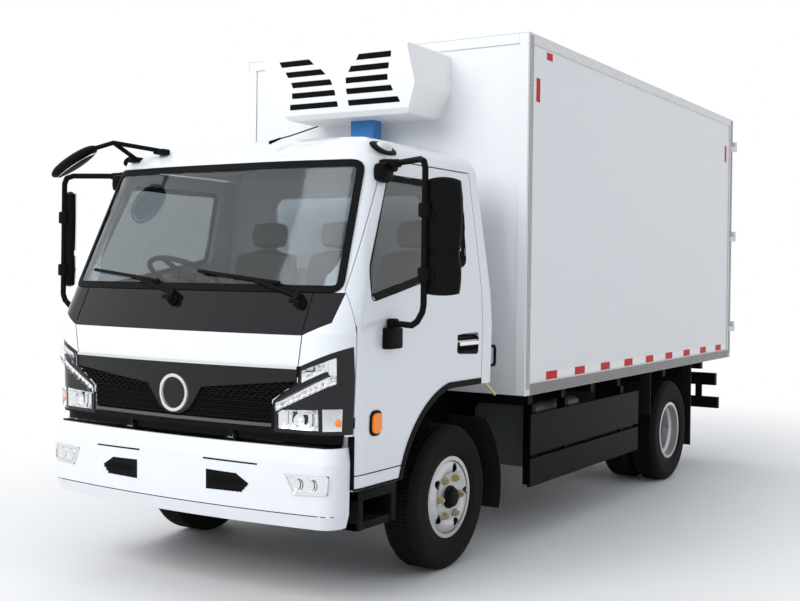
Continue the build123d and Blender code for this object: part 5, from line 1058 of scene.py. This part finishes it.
LOCK_BAR_XS, LOCK_GUIDE_LEVELS, LOCK_HANDLE_Z = (0.150, 0.640), (1.120, 1.500, 2.300, 2.880), 1.620
LOCK_BAR_Y = DOOR_FACE_Y + 0.020
DOOR_EDGE = 0.005
for word, side in SIDES:
    bm = bmesh.new()
    door_low, door_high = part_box(f"rear_door_{word}")
    low, high = door_low[2], door_high[2]
    for x in LOCK_BAR_XS:
        add_rod(bm, (x, LOCK_BAR_Y, low + 0.016), (x, LOCK_BAR_Y, high - 0.016), 0.0125, sides=20)
        for z in LOCK_GUIDE_LEVELS:
            add_block(bm, (x - 0.0245, DOOR_FACE_Y - 0.0005, z - 0.0215), (x + 0.0245, DOOR_FACE_Y + 0.0285, z + 0.0215),
                      0.003, material=1)
        add_block(bm, (x - 0.0155, LOCK_BAR_Y - 0.0085, LOCK_HANDLE_Z - 0.0165),
                  (x + 0.2375, LOCK_BAR_Y + 0.0085, LOCK_HANDLE_Z + 0.0165), 0.004, material=2)
    reach = max(abs(door_low[0]), abs(door_high[0])) - 0.102
    for x, z0, z1 in ((DOOR_EDGE + 0.009, low + 0.001, high - 0.001), (reach, low + 0.001, low + 0.010),
                      (reach, high - 0.010, high - 0.001)):
        add_block(bm, (DOOR_EDGE, DOOR_FACE_Y - 0.0004, z0), (x, DOOR_FACE_Y + 0.0014, z1), material=3)
    to_side(bm, side)
    put(f"rear_lock_bars_{word}", bm, f"rear_door_{word}", [ALUMINIUM, CAST_GREY, GRAINED_BLACK, SEAL_BLACK], "edge_trim")


# Fridge unit: black sheets over the louvre slots on its front, painting the shade inside them, with thin blades across

UnitSlot = namedtuple("UnitSlot", "z inner_low inner_top outer_low outer_top")
UNIT_SLOTS = (
    UnitSlot(2.638, 0.040, 0.040, 0.416, 0.404), UnitSlot(2.704, 0.043, 0.043, 0.380, 0.372),
    UnitSlot(2.766, 0.050, 0.058, 0.356, 0.362), UnitSlot(2.828, 0.084, 0.112, 0.376, 0.388),
    UnitSlot(2.890, 0.156, 0.186, 0.408, 0.418),
)
SLOT_HEIGHT = 0.033
UNIT = surface_of("fridge_unit")
bm = bmesh.new()
for row in UNIT_SLOTS:
    slot_top = row.z + SLOT_HEIGHT
    outline = rounded(inset([(row.inner_low, row.z), (row.outer_low, row.z), (row.outer_top, slot_top),
                             (row.inner_top, slot_top)], 0.0008), 0.006, 3)
    for _, side in SIDES:
        # Black sheet over each slot: painted shade of the opening.
        add_draped(bm, sided(outline, side), FRONT, UNIT, stand=0.0002, thickness=0.0015, step=0.2)
    for share in (0.33, 0.66):
        z = row.z + SLOT_HEIGHT * share
        inner = row.inner_low + (row.inner_top - row.inner_low) * share + 0.004
        outer = row.outer_low + (row.outer_top - row.outer_low) * share - 0.004
        for _, side in SIDES:
            add_ribbon(bm, [(side * inner, z), (side * outer, z)], 0.003, 0.009, UNIT, 0.009)
put("unit_louvres", bm, "chassis", *PLASTIC)


# Studio: camera, soft light, white surround and a pale floor

scene = bpy.context.scene
scene.view_settings.view_transform = "Standard"

CAMERA_PLACE = Vector((4.043086, -7.086793, 1.612769))
CAMERA_YAW, CAMERA_PITCH, CAMERA_ROLL = -0.5299, -0.0033, 0.0135
FOCAL_PIXELS, PHOTO_WIDTH, PHOTO_HEIGHT = 1110.009, 800, 601
PHOTO_CENTRE = (455.565, 278.862)
ahead = Vector((sin(CAMERA_YAW) * cos(CAMERA_PITCH), cos(CAMERA_YAW) * cos(CAMERA_PITCH), sin(CAMERA_PITCH)))
right = ahead.cross(Z).normalized()
up = right.cross(ahead)
rolled_right = right * cos(CAMERA_ROLL) + up * sin(CAMERA_ROLL)
rolled_up = up * cos(CAMERA_ROLL) - right * sin(CAMERA_ROLL)
lens = bpy.data.cameras.new("camera")
lens.sensor_width = 36.0
lens.lens = FOCAL_PIXELS * lens.sensor_width / PHOTO_WIDTH
lens.shift_x = (PHOTO_WIDTH / 2 - PHOTO_CENTRE[0]) / PHOTO_WIDTH
lens.shift_y = (PHOTO_CENTRE[1] - PHOTO_HEIGHT / 2) / PHOTO_WIDTH
camera = bpy.data.objects.new("camera", lens)
camera.matrix_world = Matrix((rolled_right, rolled_up, -ahead)).transposed().to_4x4()
camera.matrix_world.translation = CAMERA_PLACE
scene.collection.objects.link(camera)
scene.camera = camera

Lamp = namedtuple("Lamp", "name place target size energy")
for lamp in (
    Lamp("key_light", (-1.5, -10.0, 7.0), (0, -1.0, 1.3), 6.0, 620.0),
    Lamp("side_light", (10.0, 1.5, 5.0), (0.5, 0.5, 1.2), 7.0, 50.0),
    Lamp("back_light", (-7.0, 7.0, 6.5), (0, 0.5, 1.5), 6.0, 220.0),
):
    data = bpy.data.lights.new(lamp.name, "AREA")
    data.size = lamp.size
    data.energy = lamp.energy
    light = bpy.data.objects.new(lamp.name, data)
    light.location = lamp.place
    light.visible_glossy = False
    light.rotation_euler = (Vector(lamp.target) - Vector(lamp.place)).to_track_quat("-Z", "Y").to_euler()
    scene.collection.objects.link(light)


def background_rays(tree):
    """Socket that is 1 where the camera, a reflection or glass sees the background itself."""
    rays = wire(tree, "LightPath").outputs
    share = rays["Is Camera Ray"]
    for label in ("Is Glossy Ray", "Is Transmission Ray"):
        share = wire(tree, "Math", {0: share, 1: rays[label]}, operation="MAXIMUM").outputs[0]
    return share


world = bpy.data.worlds.new("surround")
scene.world = world
world.use_nodes = True
sky = world.node_tree
soft = sky.nodes["Background"]
soft.inputs["Color"].default_value = (0.88, 0.93, 1.0, 1)
soft.inputs["Strength"].default_value = 0.62
bright = wire(sky, "Background", {"Color": (1, 1, 1, 1), "Strength": 1.0})
blend = wire(sky, "MixShader", {"Fac": background_rays(sky), 1: soft.outputs[0], 2: bright.outputs[0]})
sky.links.new(blend.outputs[0], sky.nodes["World Output"].inputs["Surface"])


def floor_material():
    """Pale floor that takes the shadow and turns to plain white away from the truck."""
    material = finish("floor_white", (0.93, 0.93, 0.93), 3, (0.55, 0.65))
    tree = material.node_tree
    place = wire(tree, "TexCoord").outputs["Object"]
    squeeze = wire(tree, "VectorMath", {0: place, 1: (1.0, 0.55, 1.0)}, operation="MULTIPLY")
    reach = wire(tree, "VectorMath", {0: squeeze.outputs["Vector"]}, operation="LENGTH")
    fade = wire(tree, "MapRange", {"Value": reach.outputs["Value"], "From Min": 1.7, "From Max": 4.2},
                interpolation_type="SMOOTHSTEP")
    amount = wire(tree, "Math", {0: fade.outputs["Result"], 1: background_rays(tree)}, operation="MULTIPLY")
    mix = wire(tree, "MixShader", {"Fac": amount.outputs[0], 1: tree.nodes["Principled BSDF"].outputs[0],
                                   2: wire(tree, "Emission").outputs[0]})
    tree.links.new(mix.outputs[0], tree.nodes["Material Output"].inputs["Surface"])
    return material


FLOOR_SIZE = 60.0
bm = bmesh.new()
bmesh.ops.create_grid(bm, x_segments=8, y_segments=8, size=FLOOR_SIZE)
ground = bpy.data.meshes.new("floor")
bm.to_mesh(ground)
bm.free()
ground.materials.append(floor_material())
floor = bpy.data.objects.new("floor", ground)
scene.collection.objects.link(floor)
